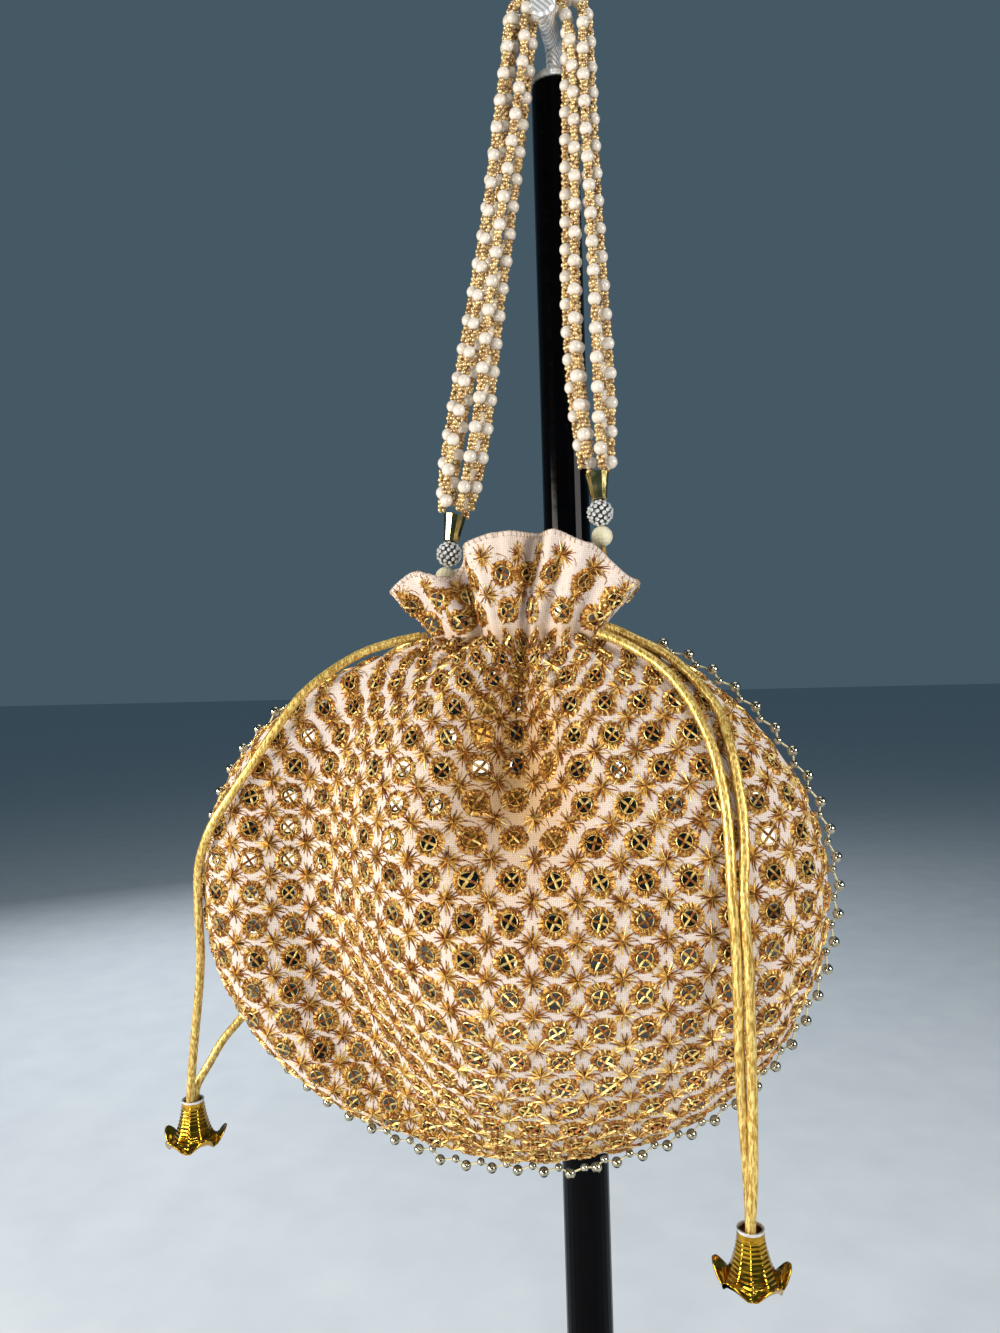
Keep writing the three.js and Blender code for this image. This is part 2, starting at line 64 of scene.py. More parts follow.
# Columns: up, shift, half width, front depth, back depth, rise into the ruffle
SECTIONS = (
    (0, 2, 22, 0, 0, 0),
    (3, 1.6, 31, 8, 7, 0),
    (10, 1, 52, 15, 12, 0),
    (24, 0, 77, 25, 19, 0),
    (46, -0.6, 99.5, 36, 26, 0),
    (74, -0.6, 114, 44, 31, 0),
    (104, 0, 118.6, 47, 33.2, 0),
    (130, 0, 114, 46, 33, 0),
    (152, 0.5, 102.5, 41, 30, 0),
    (170, 2, 86, 34, 26, 0),
    (182, 4, 69, 27, 22, 0),
    (190, 6, 51, 20, 18, 0),
    (196, 8.5, 33.5, 15, 14, 0),
    (196, 8.5, 34.5, 16.5, 15, 0.22),
    (196, 8.3, 39, 20, 17.5, 0.5),
    (196, 8, 44, 23, 20, 0.78),
    (196, 8, 47, 24.5, 21, 1),
)

# Columns: place at the gather, place at the edge, depth there, depth at the edge, width, reach down
FRONT_FOLDS = (
    (-0.8, -0.8, 4, 5, 0.12, 26),
    (-0.41, -0.43, 8, 17, 0.11, 40),
    (0.14, 0.25, 8, 14, 0.1, 50),
    (0.42, 0.5, 6, 5, 0.1, 36),
    (0.75, 0.78, 5, 5, 0.11, 30),
)
BACK_FOLDS = (
    (-0.74, -0.74, 4, 5, 0.12, 28),
    (-0.36, -0.36, 6, 8, 0.12, 36),
    (0.02, 0.02, 6.5, 6, 0.12, 40),
    (0.4, 0.4, 6, 8, 0.12, 36),
    (0.76, 0.76, 4, 5, 0.12, 28),
)

# Columns: place across, width, lean over 100 mm up, height up, reach, depth, flatness
FRONT_DENTS = (
    (0.12, 0.18, 0.0, 148, 30, 21, 2),
    (-0.62, 0.3, -0.15, 105, 80, 24, 4),
    (0.12, 0.42, 0.0, 86, 60, -12, 2),
)
BACK_DENTS = ((0.2, 0.3, 0.0, 130, 60, 1.5, 2),)

# Sharp creases that run down from the gather
# Columns: place at the gather, shift down, depth, width, reach down
CREASES = (
    (-0.86, -0.02, 2.2, 0.035, 30),
    (-0.62, -0.04, 2.6, 0.04, 42),
    (-0.24, -0.06, 2.4, 0.035, 46),
    (-0.02, 0.0, 3.2, 0.035, 52),
    (0.3, 0.1, 3.0, 0.04, 66),
    (0.56, 0.06, 2.4, 0.04, 40),
    (0.84, 0.02, 2.0, 0.035, 28),
)

# Columns: place across, height of the ruffle's edge over the gather
FRONT_EDGE = ((-1, 18), (-0.78, 24), (-0.5, 22), (-0.34, 33), (0, 36), (0.4, 36.5), (0.7, 31), (1, 18))
BACK_EDGE = ((-1, 18), (-0.5, 28), (0, 35), (0.5, 33), (1, 18))

# How a stitch lies, columns: share of its length, share of its width, share of its height
ARCHED = ((0.0, 0.7, 0.25), (0.5, 1.0, 1.0), (1.0, 0.7, 0.25))
FALLING = ((0.0, 1.0, 1.0), (1.0, 0.5, 0.25))
LEVEL = ((0.0, 0.8, 1.0), (0.5, 1.0, 1.05), (1.0, 0.7, 1.0))
PAD_HEIGHTS = (0.15, 0.6, 0.04)
PAD_RAGGED = (0.05, 0.1, 0.22)

# Columns: distance out from the ring's inner edge, height
RIM_PROFILE = ((0.05, 0.5), (0.25, 0.8), (0.5, 0.55))

# The fine thread that runs on from a star, columns: right, up
STAR_TAIL = ((3.2, 0.8), (4.9, 0.2), (6.1, -1.0), (6.9, -2.8))

# Columns: half width of a stitch, its height, share of bright thread, share of brown thread
RING_SEWN = (0.32, 0.55, 0.36, 0.4)
CROSS_SEWN = (0.46, 0.6, 0.42, 0.3)
STAR_SEWN = (0.38, 0.9, 0.46, 0.2)
# Thread and film slots of the embroidery; the last film has a painted gold reflection
BRIGHT_THREAD, BROWN_THREAD, MID_THREAD, DARK_FILM, PAINTED_REFLECTION_FILM = range(5)
# Depth in the hollow past which ring rims take painted shade and most sequins a painted gold reflection
IN_HOLLOW = 0.4

# The tail's half width and height
TAIL_SEWN = (0.16, 0.35)

# Drawstring cords, in millimetres, from the neck to inside the bell
CORD_ROUTES = {
    "cord_right_a": (
        (19.8, -51.5, 373.6), (24, -50.6, 372.1), (29.8, -52.3, 369.1), (41, -55.4, 363.2),
        (49.4, -60.4, 356.2), (55.9, -64.8, 348.6), (60, -67.8, 342), (63, -73.6, 331.5),
        (65.1, -78, 319.6), (66.3, -81.6, 308.9), (66.4, -84.6, 297.1), (65.8, -87.4, 284.4),
        (66, -88.4, 272), (66.6, -88.6, 260.2), (66.6, -88.8, 230.8), (66.5, -89.2, 216),
        (65.9, -90.1, 194.4), (64.8, -90.35, 180), (64.8, -90.35, 173.5),
    ),
    "cord_right_b": (
        (18, -55.9, 371.2), (23.3, -56.8, 369), (29.4, -58.5, 365.9), (37.9, -62.4, 360.4),
        (44.3, -65.8, 354.4), (49.6, -70, 347.4), (53.3, -72.8, 340.5), (56.8, -76.3, 332.3),
        (59.5, -80.1, 321.5), (61, -83.5, 310.7), (61.8, -86, 299), (62, -88.4, 284.5),
        (62.6, -88.9, 272), (63, -88.6, 260.1), (63, -87.8, 230.7), (63.4, -87.2, 216),
        (64.4, -86.7, 194.3), (64.8, -86.65, 180), (64.8, -86.65, 173.5),
    ),
    "cord_left_a": (
        (-52, -45.4, 372.5), (-62, -47.8, 370.6), (-74, -53.6, 366.2), (-85.5, -59.2, 358.8),
        (-95, -62.4, 350.6), (-103.8, -64.6, 339.1), (-112.9, -67, 326.1), (-120.9, -68, 315.1),
        (-128.6, -68.6, 304.3), (-134.2, -67, 294.2), (-138.2, -64.1, 284.3), (-140.1, -61.4, 269.3),
        (-141.6, -58, 251.6), (-144.5, -54.4, 237.5), (-149, -50.8, 216.8), (-151.6, -49, 203.2),
        (-153.2, -47.9, 193.6), (-153.5, -47.85, 189), (-153.5, -47.85, 183),
    ),
    "cord_left_b": (
        (-51.5, -41, 372.5), (-57, -36.4, 371), (-63, -34.6, 368.6), (-71, -31.5, 364.4),
        (-77.5, -27.5, 359.5), (-85, -25.6, 353.7), (-93, -22.8, 346.1), (-100, -19.6, 333.1),
        (-105, -16.9, 318.6), (-110, -15.4, 304.1), (-114, -16, 290), (-117, -16.7, 275),
        (-119.5, -18.4, 261.8), (-123, -21.3, 249.8), (-127.5, -26, 237), (-132, -30.5, 226.5),
        (-137, -34, 217.8), (-143.7, -38, 209.4), (-149, -41.5, 199.8), (-152.3, -43.8, 193.6),
        (-153.4, -44.15, 189), (-153.5, -44.15, 183),
    ),
}

# Columns: drop below the neck, radius, share of the petals
BELL_RINGS = (
    (0, 4.4, 0),
    (2.2, 4.5, 0),
    (6.5, 5.2, 0),
    (11.5, 6.6, 0),
    (15.4, 8.1, 0.1),
    (17.6, 9.2, 0.45),
    (18.2, 9.6, 1),
)

# Handle, columns: x, y, z, spread of the strands
HANDLE_ROUTE = (
    (-37.1, -44, 418.6, 5.2),
    (-34.2, -42, 437, 7),
    (-30.6, -37.6, 461, 7.6),
    (-26.4, -32.2, 494, 6.8),
    (-21.1, -26, 534, 6),
    (-16.2, -20, 577, 5.6),
    (-12.8, -15, 608, 5.2),
    (-11.8, -13.6, 620, 5.2),
    (-8.4, -13.2, 628.4, 5.2),
    (0, -13, 631.9, 5.2),
    (8.4, -13.2, 628.4, 5.2),
    (11.8, -13.6, 620, 5.2),
    (12.6, -15, 608, 5.2),
    (12.8, -19.6, 581, 5.4),
    (13.2, -26, 538, 6),
    (14, -33, 496, 7),
    (15.6, -38.4, 464, 7.4),
    (17, -42.2, 445, 6.4),
    (17.9, -44, 431, 5.2),
)


def linear(hex_code: str) -> tuple[float, float, float, float]:
    """Turn an sRGB hex colour into linear RGBA.

    Args:
        hex_code: The colour, as #RRGGBB.

    Returns:
        Red, green, blue and alpha.
    """
    values = [int(hex_code[i:i + 2], 16) / 255 for i in (1, 3, 5)]
    straight = [v / 12.92 if v <= 0.04045 else ((v + 0.055) / 1.055) ** 2.4 for v in values]
    return (straight[0], straight[1], straight[2], 1.0)


def ease(share: np.ndarray) -> np.ndarray:
    """Smooth step from 0 to 1."""
    held = np.clip(share, 0.0, 1.0)
    return held * held * (3 - 2 * held)


def bump(value: np.ndarray, width: float, power: int = 2) -> np.ndarray:
    """Bell curve of height 1, flatter on top with a higher power."""
    return np.exp(-((value / width) ** power))


def table_at(table: tuple, place: np.ndarray) -> np.ndarray:
    """Read a two-column table with smooth steps between its rows.

    Args:
        table: Rows of place and value.
        place: Places to read.

    Returns:
        The value at each place.
    """
    result = np.full(place.shape, float(table[0][1]))
    for (low, start), (high, end) in zip(table, table[1:]):
        inside = ease((place - low) / (high - low))
        result = np.where(place >= low, start + (end - start) * inside, result)
    return result


def smooth_rows(values: np.ndarray, place: np.ndarray) -> np.ndarray:
    """Read evenly spaced rows with a curve that passes through each of them.

    Args:
        values: One value or point for each row.
        place: Row numbers to read, whole or between.

    Returns:
        The values at each place.
    """
    last = len(values) - 1
    row = np.clip(np.floor(place).astype(int), 0, last - 1)
    t = place - row
    if values.ndim > 1:
        t = t[..., None]
    before = values[np.clip(row - 1, 0, last)]
    start = values[row]
    end = values[row + 1]
    after = values[np.clip(row + 2, 0, last)]
    slope_in = (end - before) / 2
    slope_out = (after - start) / 2
    t2 = t * t
    t3 = t2 * t
    return (
        (2 * t3 - 3 * t2 + 1) * start
        + (t3 - 2 * t2 + t) * slope_in
        + (3 * t2 - 2 * t3) * end
        + (t3 - t2) * slope_out
    )


def circle(turn: np.ndarray) -> np.ndarray:
    """Points of a flat circle of radius 1, one for each turn."""
    return np.stack([np.cos(turn), np.sin(turn)], axis=1)


def turned(turn: np.ndarray, side: np.ndarray, back: np.ndarray) -> np.ndarray:
    """Directions across a line, each with its own turn."""
    return np.cos(turn)[..., None] * side + np.sin(turn)[..., None] * back


def hoops(turn: np.ndarray, side: np.ndarray, back: np.ndarray) -> np.ndarray:
    """Circles of radius 1 round a line, one for each pair of cross directions."""
    return turned(turn[None, :], side[:, None], back[:, None])


def unit(vectors: np.ndarray) -> np.ndarray:
    """Scale vectors to length 1."""
    length = np.linalg.norm(vectors, axis=-1, keepdims=True)
    return vectors / np.maximum(length, 1e-9)


@dataclass
class Path:
    """A smooth line through points, read by length."""

    stops: np.ndarray
    fineness: int = 40
    points: np.ndarray = field(init=False)
    lengths: np.ndarray = field(init=False)

    def __post_init__(self) -> None:
        """Lay fine points along the line and add up its length."""
        steps = (len(self.stops) - 1) * self.fineness
        place = np.linspace(0, len(self.stops) - 1, steps + 1)
        self.points = smooth_rows(np.asarray(self.stops, float), place)
        pieces = np.linalg.norm(np.diff(self.points, axis=0), axis=1)
        self.lengths = np.concatenate([[0], np.cumsum(pieces)])

    @property
    def length(self) -> float:
        """Whole length."""
        return float(self.lengths[-1])

    def at(self, along: np.ndarray) -> np.ndarray:
        """Points at lengths along the line."""
        return np.stack([np.interp(along, self.lengths, self.points[:, k]) for k in range(3)], axis=-1)

    def frames(self, along: np.ndarray) -> tuple[np.ndarray, np.ndarray, np.ndarray]:
        """Find the direction and two cross directions that turn as little as can be.

        Args:
            along: Lengths along the line, rising.

        Returns:
            Tangents, sides and backs, one for each length.
        """
        reach = 0.6
        ahead = self.at(np.minimum(along + reach, self.length))
        tangents = unit(ahead - self.at(np.maximum(along - reach, 0)))
        sides = np.zeros_like(tangents)
        guess = np.cross((0.0, 1.0, 0.0), tangents[0])
        if np.linalg.norm(guess) < 0.05:
            guess = np.cross((1.0, 0.0, 0.0), tangents[0])
        for k, tangent in enumerate(tangents):
            guess = guess - tangent * np.dot(guess, tangent)
            guess = guess / np.linalg.norm(guess)
            sides[k] = guess
        return tangents, sides, np.cross(tangents, sides)


class MeshBuilder:
    """Gathers vertices and faces, in millimetres, into one object."""

    def __init__(self) -> None:
        """Start empty."""
        self.blocks: list[np.ndarray] = []
        self.faces: list[tuple[np.ndarray, np.ndarray]] = []
        self.count = 0

    def add(self, points: np.ndarray, faces: np.ndarray, material: int | np.ndarray = 0) -> None:
        """Add a block of points and the faces on them.

        Args:
            points: Points, one row each.
            faces: Corner numbers within the block, all with as many corners.
            material: Slot for all the faces or one for each.
        """
        points = np.asarray(points, float).reshape(-1, 3)
        faces = np.asarray(faces, np.int64)
        slots = np.broadcast_to(np.asarray(material), (len(faces),))
        self.blocks.append(points)
        self.faces.append((faces + self.count, slots))
        self.count += len(points)

    def copies(
        self,
        template: tuple[np.ndarray, np.ndarray],
        centres: np.ndarray,
        bases: np.ndarray,
        material: int | np.ndarray = 0,
    ) -> None:
        """Add a copy of one small form at each centre.

        Args:
            template: Points and faces of the form.
            centres: Where each copy goes.
            bases: For each copy, three rows: what the form's x, y and z become.
            material: Slot for all the copies or one for each.
        """
        shape, faces = template
        points = np.einsum("vk,nkc->nvc", shape, bases) + centres[:, None, :]
        starts = np.arange(len(centres)) * len(shape)
        all_faces = faces[None] + starts[:, None, None]
        slots = np.repeat(np.broadcast_to(np.asarray(material), (len(centres),)), len(faces))
        self.add(points, all_faces.reshape(-1, faces.shape[1]), slots)

    def tube(self, points: np.ndarray, radius: float | np.ndarray, sides: int, material: int = 0) -> None:
        """Add a round tube with closed ends along points.

        Args:
            points: The middle line.
            radius: One radius, or one for each point.
            sides: Number of sides.
            material: Slot of its faces.
        """
        path = Path(points, fineness=1)
        _, side, back = path.frames(path.lengths)
        radii = np.broadcast_to(np.asarray(radius, float), (len(points),))
        turn = np.linspace(0, 2 * math.pi, sides, endpoint=False)
        skin = path.points[:, None] + hoops(turn, side, back) * radii[:, None, None]
        self.add(skin, loop_faces(len(points), sides), material)
        for end, way in ((0, 1), (len(points) - 1, -1)):
            fan = np.concatenate([path.points[end][None], skin[end]])
            k = np.arange(sides)
            corner = np.stack([np.zeros(sides, int), 1 + (k + 1) % sides, 1 + k], axis=1)
            self.add(fan, corner[:, ::way], material)

    def make(
        self,
        name: str,
        materials: list[bpy.types.Material],
        smooth: bool = True,
        shade: np.ndarray | None = None,
    ) -> bpy.types.Object:
        """Make the object in the scene and let it ride on the body.

        Args:
            name: Name of the object.
            materials: Its materials in slot order.
            smooth: Whether the faces are shaded smooth.
            shade: How much of its painted shade colour each point shows.

        Returns:
            The new object.
        """
        points = np.concatenate(self.blocks) * MM
        mesh = bpy.data.meshes.new(name)
        mesh.vertices.add(len(points))
        mesh.vertices.foreach_set("co", points.astype(np.float32).ravel())
        corners = np.concatenate([f.ravel() for f, _ in self.faces])
        sizes = np.concatenate([np.full(len(f), f.shape[1]) for f, _ in self.faces])
        slots = np.concatenate([s for _, s in self.faces])
        mesh.loops.add(len(corners))
        mesh.loops.foreach_set("vertex_index", corners.astype(np.int32))
        mesh.polygons.add(len(sizes))
        starts = np.concatenate([[0], np.cumsum(sizes)[:-1]])
        mesh.polygons.foreach_set("loop_start", starts.astype(np.int32))
        mesh.polygons.foreach_set("material_index", slots.astype(np.int32))
        mesh.polygons.foreach_set("use_smooth", np.full(len(sizes), smooth))
        mesh.update(calc_edges=True)
        mesh.validate()
        # Painted shade mask, read by the cloth's material
        if shade is not None:
            layer = mesh.attributes.new("shade", "FLOAT", "POINT")
            layer.data.foreach_set("value", shade.astype(np.float32))
        for material in materials:
            mesh.materials.append(material)
        obj = bpy.data.objects.new(name, mesh)
        bpy.context.scene.collection.objects.link(obj)
        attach(obj, BODY)
        LOG.info("%s has %d faces", name, len(sizes))
        return obj


def loop_faces(rings: int, sides: int, closed: bool = True) -> np.ndarray:
    """Number the four corners of each face of a skin of rings.

    Args:
        rings: How many rings of points.
        sides: Points in each ring.
        closed: Whether the last point of a ring joins its first.

    Returns:
        Corner numbers, four for each face.
    """
    columns = np.arange(sides if closed else sides - 1)
    row = np.arange(rings - 1)[:, None] * sides
    here = row + columns
    beside = row + (columns + 1) % sides
    return np.stack([here, beside, beside + sides, here + sides], axis=-1).reshape(-1, 4)


def ball_template(sides: int, rings: int) -> tuple[np.ndarray, np.ndarray]:
    """Make a round bead of radius 1 as points and three-cornered faces.

    Args:
        sides: Points around.
        rings: Bands from pole to pole.

    Returns:
        Points and faces.
    """
    points = [(0.0, 0.0, 1.0)]
    for k in range(1, rings):
        high = math.pi * k / rings
        for s in range(sides):
            turn = 2 * math.pi * s / sides
            points.append((math.sin(high) * math.cos(turn), math.sin(high) * math.sin(turn), math.cos(high)))
    points.append((0.0, 0.0, -1.0))
    faces = []
    last = len(points) - 1
    for s in range(sides):
        n = (s + 1) % sides
        faces.append((0, 1 + s, 1 + n))
        faces.append((last, last - sides + n, last - sides + s))
        for k in range(rings - 2):
            a = 1 + k * sides
            faces.append((a + s, a + sides + s, a + sides + n))
            faces.append((a + s, a + sides + n, a + n))
    return np.array(points), np.array(faces)


def round_bases(count: int, radius: float | np.ndarray) -> np.ndarray:
    """Bases that only scale, the same each way."""
    return np.eye(3)[None] * np.broadcast_to(np.asarray(radius, float), (count,))[:, None, None]


def add_node(
    tree: bpy.types.NodeTree, kind: str, settings: dict | None = None, links: dict | None = None
) -> bpy.types.Node:
    """Add one shader node.

    Args:
        tree: The tree it goes in.
        kind: Its type.
        settings: Values for its inputs, by name, or for its own properties.
        links: For each input name, the output socket that feeds it.

    Returns:
        The new node.
    """
    node = tree.nodes.new(kind)
    for name, value in (settings or {}).items():
        if name in node.inputs:
            node.inputs[name].default_value = value
        else:
            setattr(node, name, value)
    for name, socket in (links or {}).items():
        tree.links.new(socket, node.inputs[name])
    return node


# A wave of this scale has as many bands as a noise of scale 1 has spots
WAVE_SCALE = 0.314
STREAK = (1.0, 1.0, 0.24)
LEAST_ROUGHNESS = 0.02
COAT_ROUGHNESS = 0.08
RELIEF_DEPTH = 0.3


class Grain(Enum):
    """How the small pattern of a finish runs."""

    CLOUDY = "cloudy"
    WOVEN = "woven"
    THREADED = "threaded"
    STREAKED = "streaked"


@dataclass(frozen=True)
class Finish:
    """One material: two colours in a small pattern, its shine and its relief."""

    name: str
    light: str
    dark: str
    roughness: float
    metallic: float = 0.0
    grain: Grain = Grain.CLOUDY
    grain_mm: float = 2.0
    relief: float = 0.15
    coat: float = 0.0
    sheen: float = 0.0
    under_skin: float = 0.0
    rough_spread: float = 0.08
    shine: float = 0.5
    contrast: float = 0.2
    # Colour that the pattern is multiplied toward as painted shade, where the mesh's shade attribute says
    shade: str = ""

    def pattern(self, tree: bpy.types.NodeTree) -> bpy.types.NodeSocket:
        """Lay the pattern that mixes the two colours.

        Args:
            tree: The material's tree.

        Returns:
            The output socket with the pattern from 0 to 1.
        """
        place = add_node(tree, "ShaderNodeTexCoord").outputs["Object"]
        scale = 1 / (self.grain_mm * MM)
        if self.grain is Grain.STREAKED:
            mapping = add_node(tree, "ShaderNodeMapping", {"Scale": STREAK}, {"Vector": place})
            place = mapping.outputs["Vector"]
        if self.grain in (Grain.CLOUDY, Grain.STREAKED):
            settings = {"Scale": scale, "Detail": 3.0, "Roughness": 0.55}
            return add_node(tree, "ShaderNodeTexNoise", settings, {"Vector": place}).outputs["Fac"]
        settings = {"Scale": scale * WAVE_SCALE, "Distortion": 1.2, "Detail": 2.0, "Detail Scale": 1.4}
        waves = []
        for turn in ("X", "Z") if self.grain is Grain.WOVEN else ("DIAGONAL",):
            turned_to = {"bands_direction": turn, **settings}
            waves.append(add_node(tree, "ShaderNodeTexWave", turned_to, {"Vector": place}).outputs["Fac"])
        if len(waves) == 1:
            return waves[0]
        both = add_node(tree, "ShaderNodeMath", {"operation": "MULTIPLY"})
        tree.links.new(waves[0], both.inputs[0])
        tree.links.new(waves[1], both.inputs[1])
        return both.outputs["Value"]

    def make(self) -> bpy.types.Material:
        """Make the Blender material.

        Returns:
            The material.
        """
        material = bpy.data.materials.new(self.name)
        material.use_nodes = True
        tree = material.node_tree
        shader = tree.nodes["Principled BSDF"]
        pattern = self.pattern(tree)
        ramp = add_node(tree, "ShaderNodeValToRGB", links={"Fac": pattern})
        ramp.color_ramp.elements[0].position = 0.5 - self.contrast
        ramp.color_ramp.elements[0].color = linear(self.dark)
        ramp.color_ramp.elements[1].position = 0.5 + self.contrast
        ramp.color_ramp.elements[1].color = linear(self.light)
        colour = ramp.outputs["Color"]
        # Painted shade: the mesh's shade attribute darkens and warms the colour toward the shade colour
        if self.shade:
            depth = add_node(tree, "ShaderNodeAttribute", {"attribute_name": "shade"})
            mixed = add_node(
                tree,
                "ShaderNodeMixRGB",
                {"blend_type": "MULTIPLY", "Color2": linear(self.shade)},
                {"Fac": depth.outputs["Fac"], "Color1": colour},
            )
            colour = mixed.outputs["Color"]
        tree.links.new(colour, shader.inputs["Base Color"])
        smoothest = max(self.roughness - self.rough_spread, LEAST_ROUGHNESS)
        ends = {"To Min": smoothest, "To Max": self.roughness + self.rough_spread}
        spread = add_node(tree, "ShaderNodeMapRange", ends, {"Value": pattern})
        tree.links.new(spread.outputs["Result"], shader.inputs["Roughness"])
        plain = {
            "Metallic": self.metallic,
            "Specular IOR Level": self.shine,
            "Coat Weight": self.coat,
            "Coat Roughness": COAT_ROUGHNESS,
            "Sheen Weight": self.sheen,
            "Subsurface Weight": self.under_skin,
            "Subsurface Scale": MM,
        }
        for name, value in plain.items():
            shader.inputs[name].default_value = value
        if self.relief > 0:
            raise_by = {"Strength": self.relief, "Distance": self.grain_mm * MM * RELIEF_DEPTH}
            raised = add_node(tree, "ShaderNodeBump", raise_by, {"Height": pattern})
            tree.links.new(raised.outputs["Normal"], shader.inputs["Normal"])
        return material


# Weaves and windings too fine for the picture are drawn as coarse as they need to be to show
FINISHES = {
    # Off-white slub silk, dyed a faint pink, dull with a soft edge glow; its shade colour is painted shade
    # and painted gold bounce light for the front's hollow and the gather
    "cloth": Finish(
        "slub_silk_woven", "#EADDD4", "#CCBBAF", 0.78, grain=Grain.WOVEN, grain_mm=0.65,
        relief=0.5, sheen=0.1, shine=0.25, shade="#DDBF88",
    ),
    # Plain cream lining cloth, a little yellower than the outside
    "lining": Finish(
        "cotton_lining_woven", "#E6D9C2", "#CDBD9F", 0.8, grain=Grain.WOVEN, grain_mm=0.5, relief=0.3,
    ),
    # Gilt metal thread, bright where it catches the light
    "zari_bright": Finish(
        "gilt_thread_wound", "#F5E09A", "#D0A24A", 0.38, 0.6, grain_mm=0.9, relief=0.5, contrast=0.09,
    ),
    # The same thread where its copper core shows
    "zari_brown": Finish(
        "copper_thread_wound", "#B06E30", "#6E3E18", 0.45, 0.5, grain_mm=0.9, relief=0.5, contrast=0.12,
    ),
    # Thread of both kinds packed close
    "zari_mid": Finish(
        "gilt_thread_packed", "#CC9844", "#6C3E12", 0.42, 0.55, grain_mm=1.1, relief=0.8, contrast=0.07,
    ),
    # Vacuum-plated film sequin, a dark mirror
    "sequin": Finish(
        "plated_film_pressed", "#4A4436", "#38332A", 0.06, 1.0, coat=1.0, grain_mm=3.0, relief=0.02,
    ),
    # The same film with the gold reflection of the gilt cloth that faces it painted into its colour
    "sequin_painted_reflection": Finish(
        "plated_film_painted_reflection", "#9A6E26", "#5C3A10", 0.34, 0.8, grain_mm=1.2, relief=0.2, contrast=0.1,
    ),
    # Gold satin cord of fine bright yarns
    "cord": Finish(
        "gilt_yarn_cord_braided", "#EBCF7C", "#AA802E", 0.32, 0.5, grain=Grain.STREAKED, grain_mm=0.7,
        relief=0.8, contrast=0.09,
    ),
    # Bright gold plated plastic
    "bell": Finish("plated_gold_moulded", "#D2A233", "#A0741E", 0.13, 1.0, grain_mm=2.5, relief=0.05),
    # White glass pearl with a silky skin
    "pearl": Finish("glass_pearl_dipped", "#DED4C7", "#C8BCAB", 0.2, coat=0.8, grain_mm=3.0, relief=0.03),
    # Amber glass seed with a gilt lining
    "seed": Finish(
        "amber_glass_lined", "#E8CA8E", "#9C7442", 0.12, 0.45, coat=0.8, grain_mm=2.6,
        relief=0.1, contrast=0.1,
    ),
    # Polished champagne gold
    "cap": Finish("champagne_gold_polished", "#CDBC82", "#9C8A52", 0.12, 1.0, grain_mm=4.0, relief=0.05),
    # Black clay ball that holds the stones
    "clay": Finish("black_clay_set", "#1C1A1A", "#0A0909", 0.4, grain_mm=0.8, relief=0.3),
    # Clear cut stone with a foil back
    "stone": Finish(
        "foiled_crystal_cut", "#F0F0EE", "#A8A8A6", 0.06, 0.25, coat=0.6, grain_mm=0.9, relief=0.1,
    ),
    # Cream end pearl
    "cream_pearl": Finish(
        "cream_pearl_dipped", "#E9E3C6", "#D2C8A2", 0.2, coat=0.6, under_skin=0.1, grain_mm=3.0, relief=0.03,
    ),
    # Pale gold chromed bead
    "trim_bead": Finish("chromed_bead_plated", "#D0C8B0", "#989078", 0.06, 1.0, relief=0.03),
    # Fine twisted gold sewing thread
    "thread": Finish(
        "gold_thread_twisted", "#D2A850", "#8C6526", 0.45, 0.5, Grain.THREADED, grain_mm=0.5, relief=0.4,
    ),
    # Pale brown overstitch at the hem
    "stitch": Finish(
        "silk_thread_overstitched", "#CFAE84", "#96703E", 0.6, 0.1, Grain.THREADED, grain_mm=0.4, relief=0.3,
    ),
    # Gloss black lacquer over steel
    "lacquer": Finish(
        "black_lacquer_sprayed", "#040405", "#020203", 0.12, grain_mm=6.0, relief=0.02,
        rough_spread=0.02, shine=0.06,
    ),
    # Pale twisted thread that carries the seam beads
    "trim_thread": Finish(
        "pale_thread_twisted", "#EADFB8", "#C8B98A", 0.5, grain=Grain.THREADED, grain_mm=0.5, relief=0.3,
    ),
    # Bright steel with the ribs of a screw
    "screw": Finish(
        "bright_steel_threaded", "#ECECEA", "#BEBFBF", 0.26, 0.5, Grain.THREADED, grain_mm=1.2, relief=0.35,
    ),
    # Bright turned steel
    "steel": Finish("bright_steel_turned", "#ECECEA", "#B9BABA", 0.26, 0.5, grain_mm=3.0, relief=0.05),
    # Pale matt paper under the stand
    "floor": Finish("floor_paper_matt", "#CDD3D8", "#C6CCD2", 0.85, grain_mm=40.0, relief=0.0),
}


class Palette:
    """Makes each finish once, when it is first asked for."""

    def __init__(self) -> None:
        """Start with none made."""
        self.made: dict[str, bpy.types.Material] = {}

    def __getitem__(self, name: str) -> bpy.types.Material:
        """Find the material of a finish.

        Args:
            name: Name of the finish.

        Returns:
            The material.
        """
        if name not in self.made:
            self.made[name] = FINISHES[name].make()
        return self.made[name]


class Side(Enum):
    """The two cloth panels of the pouch."""

    FRONT = -1
    BACK = 1


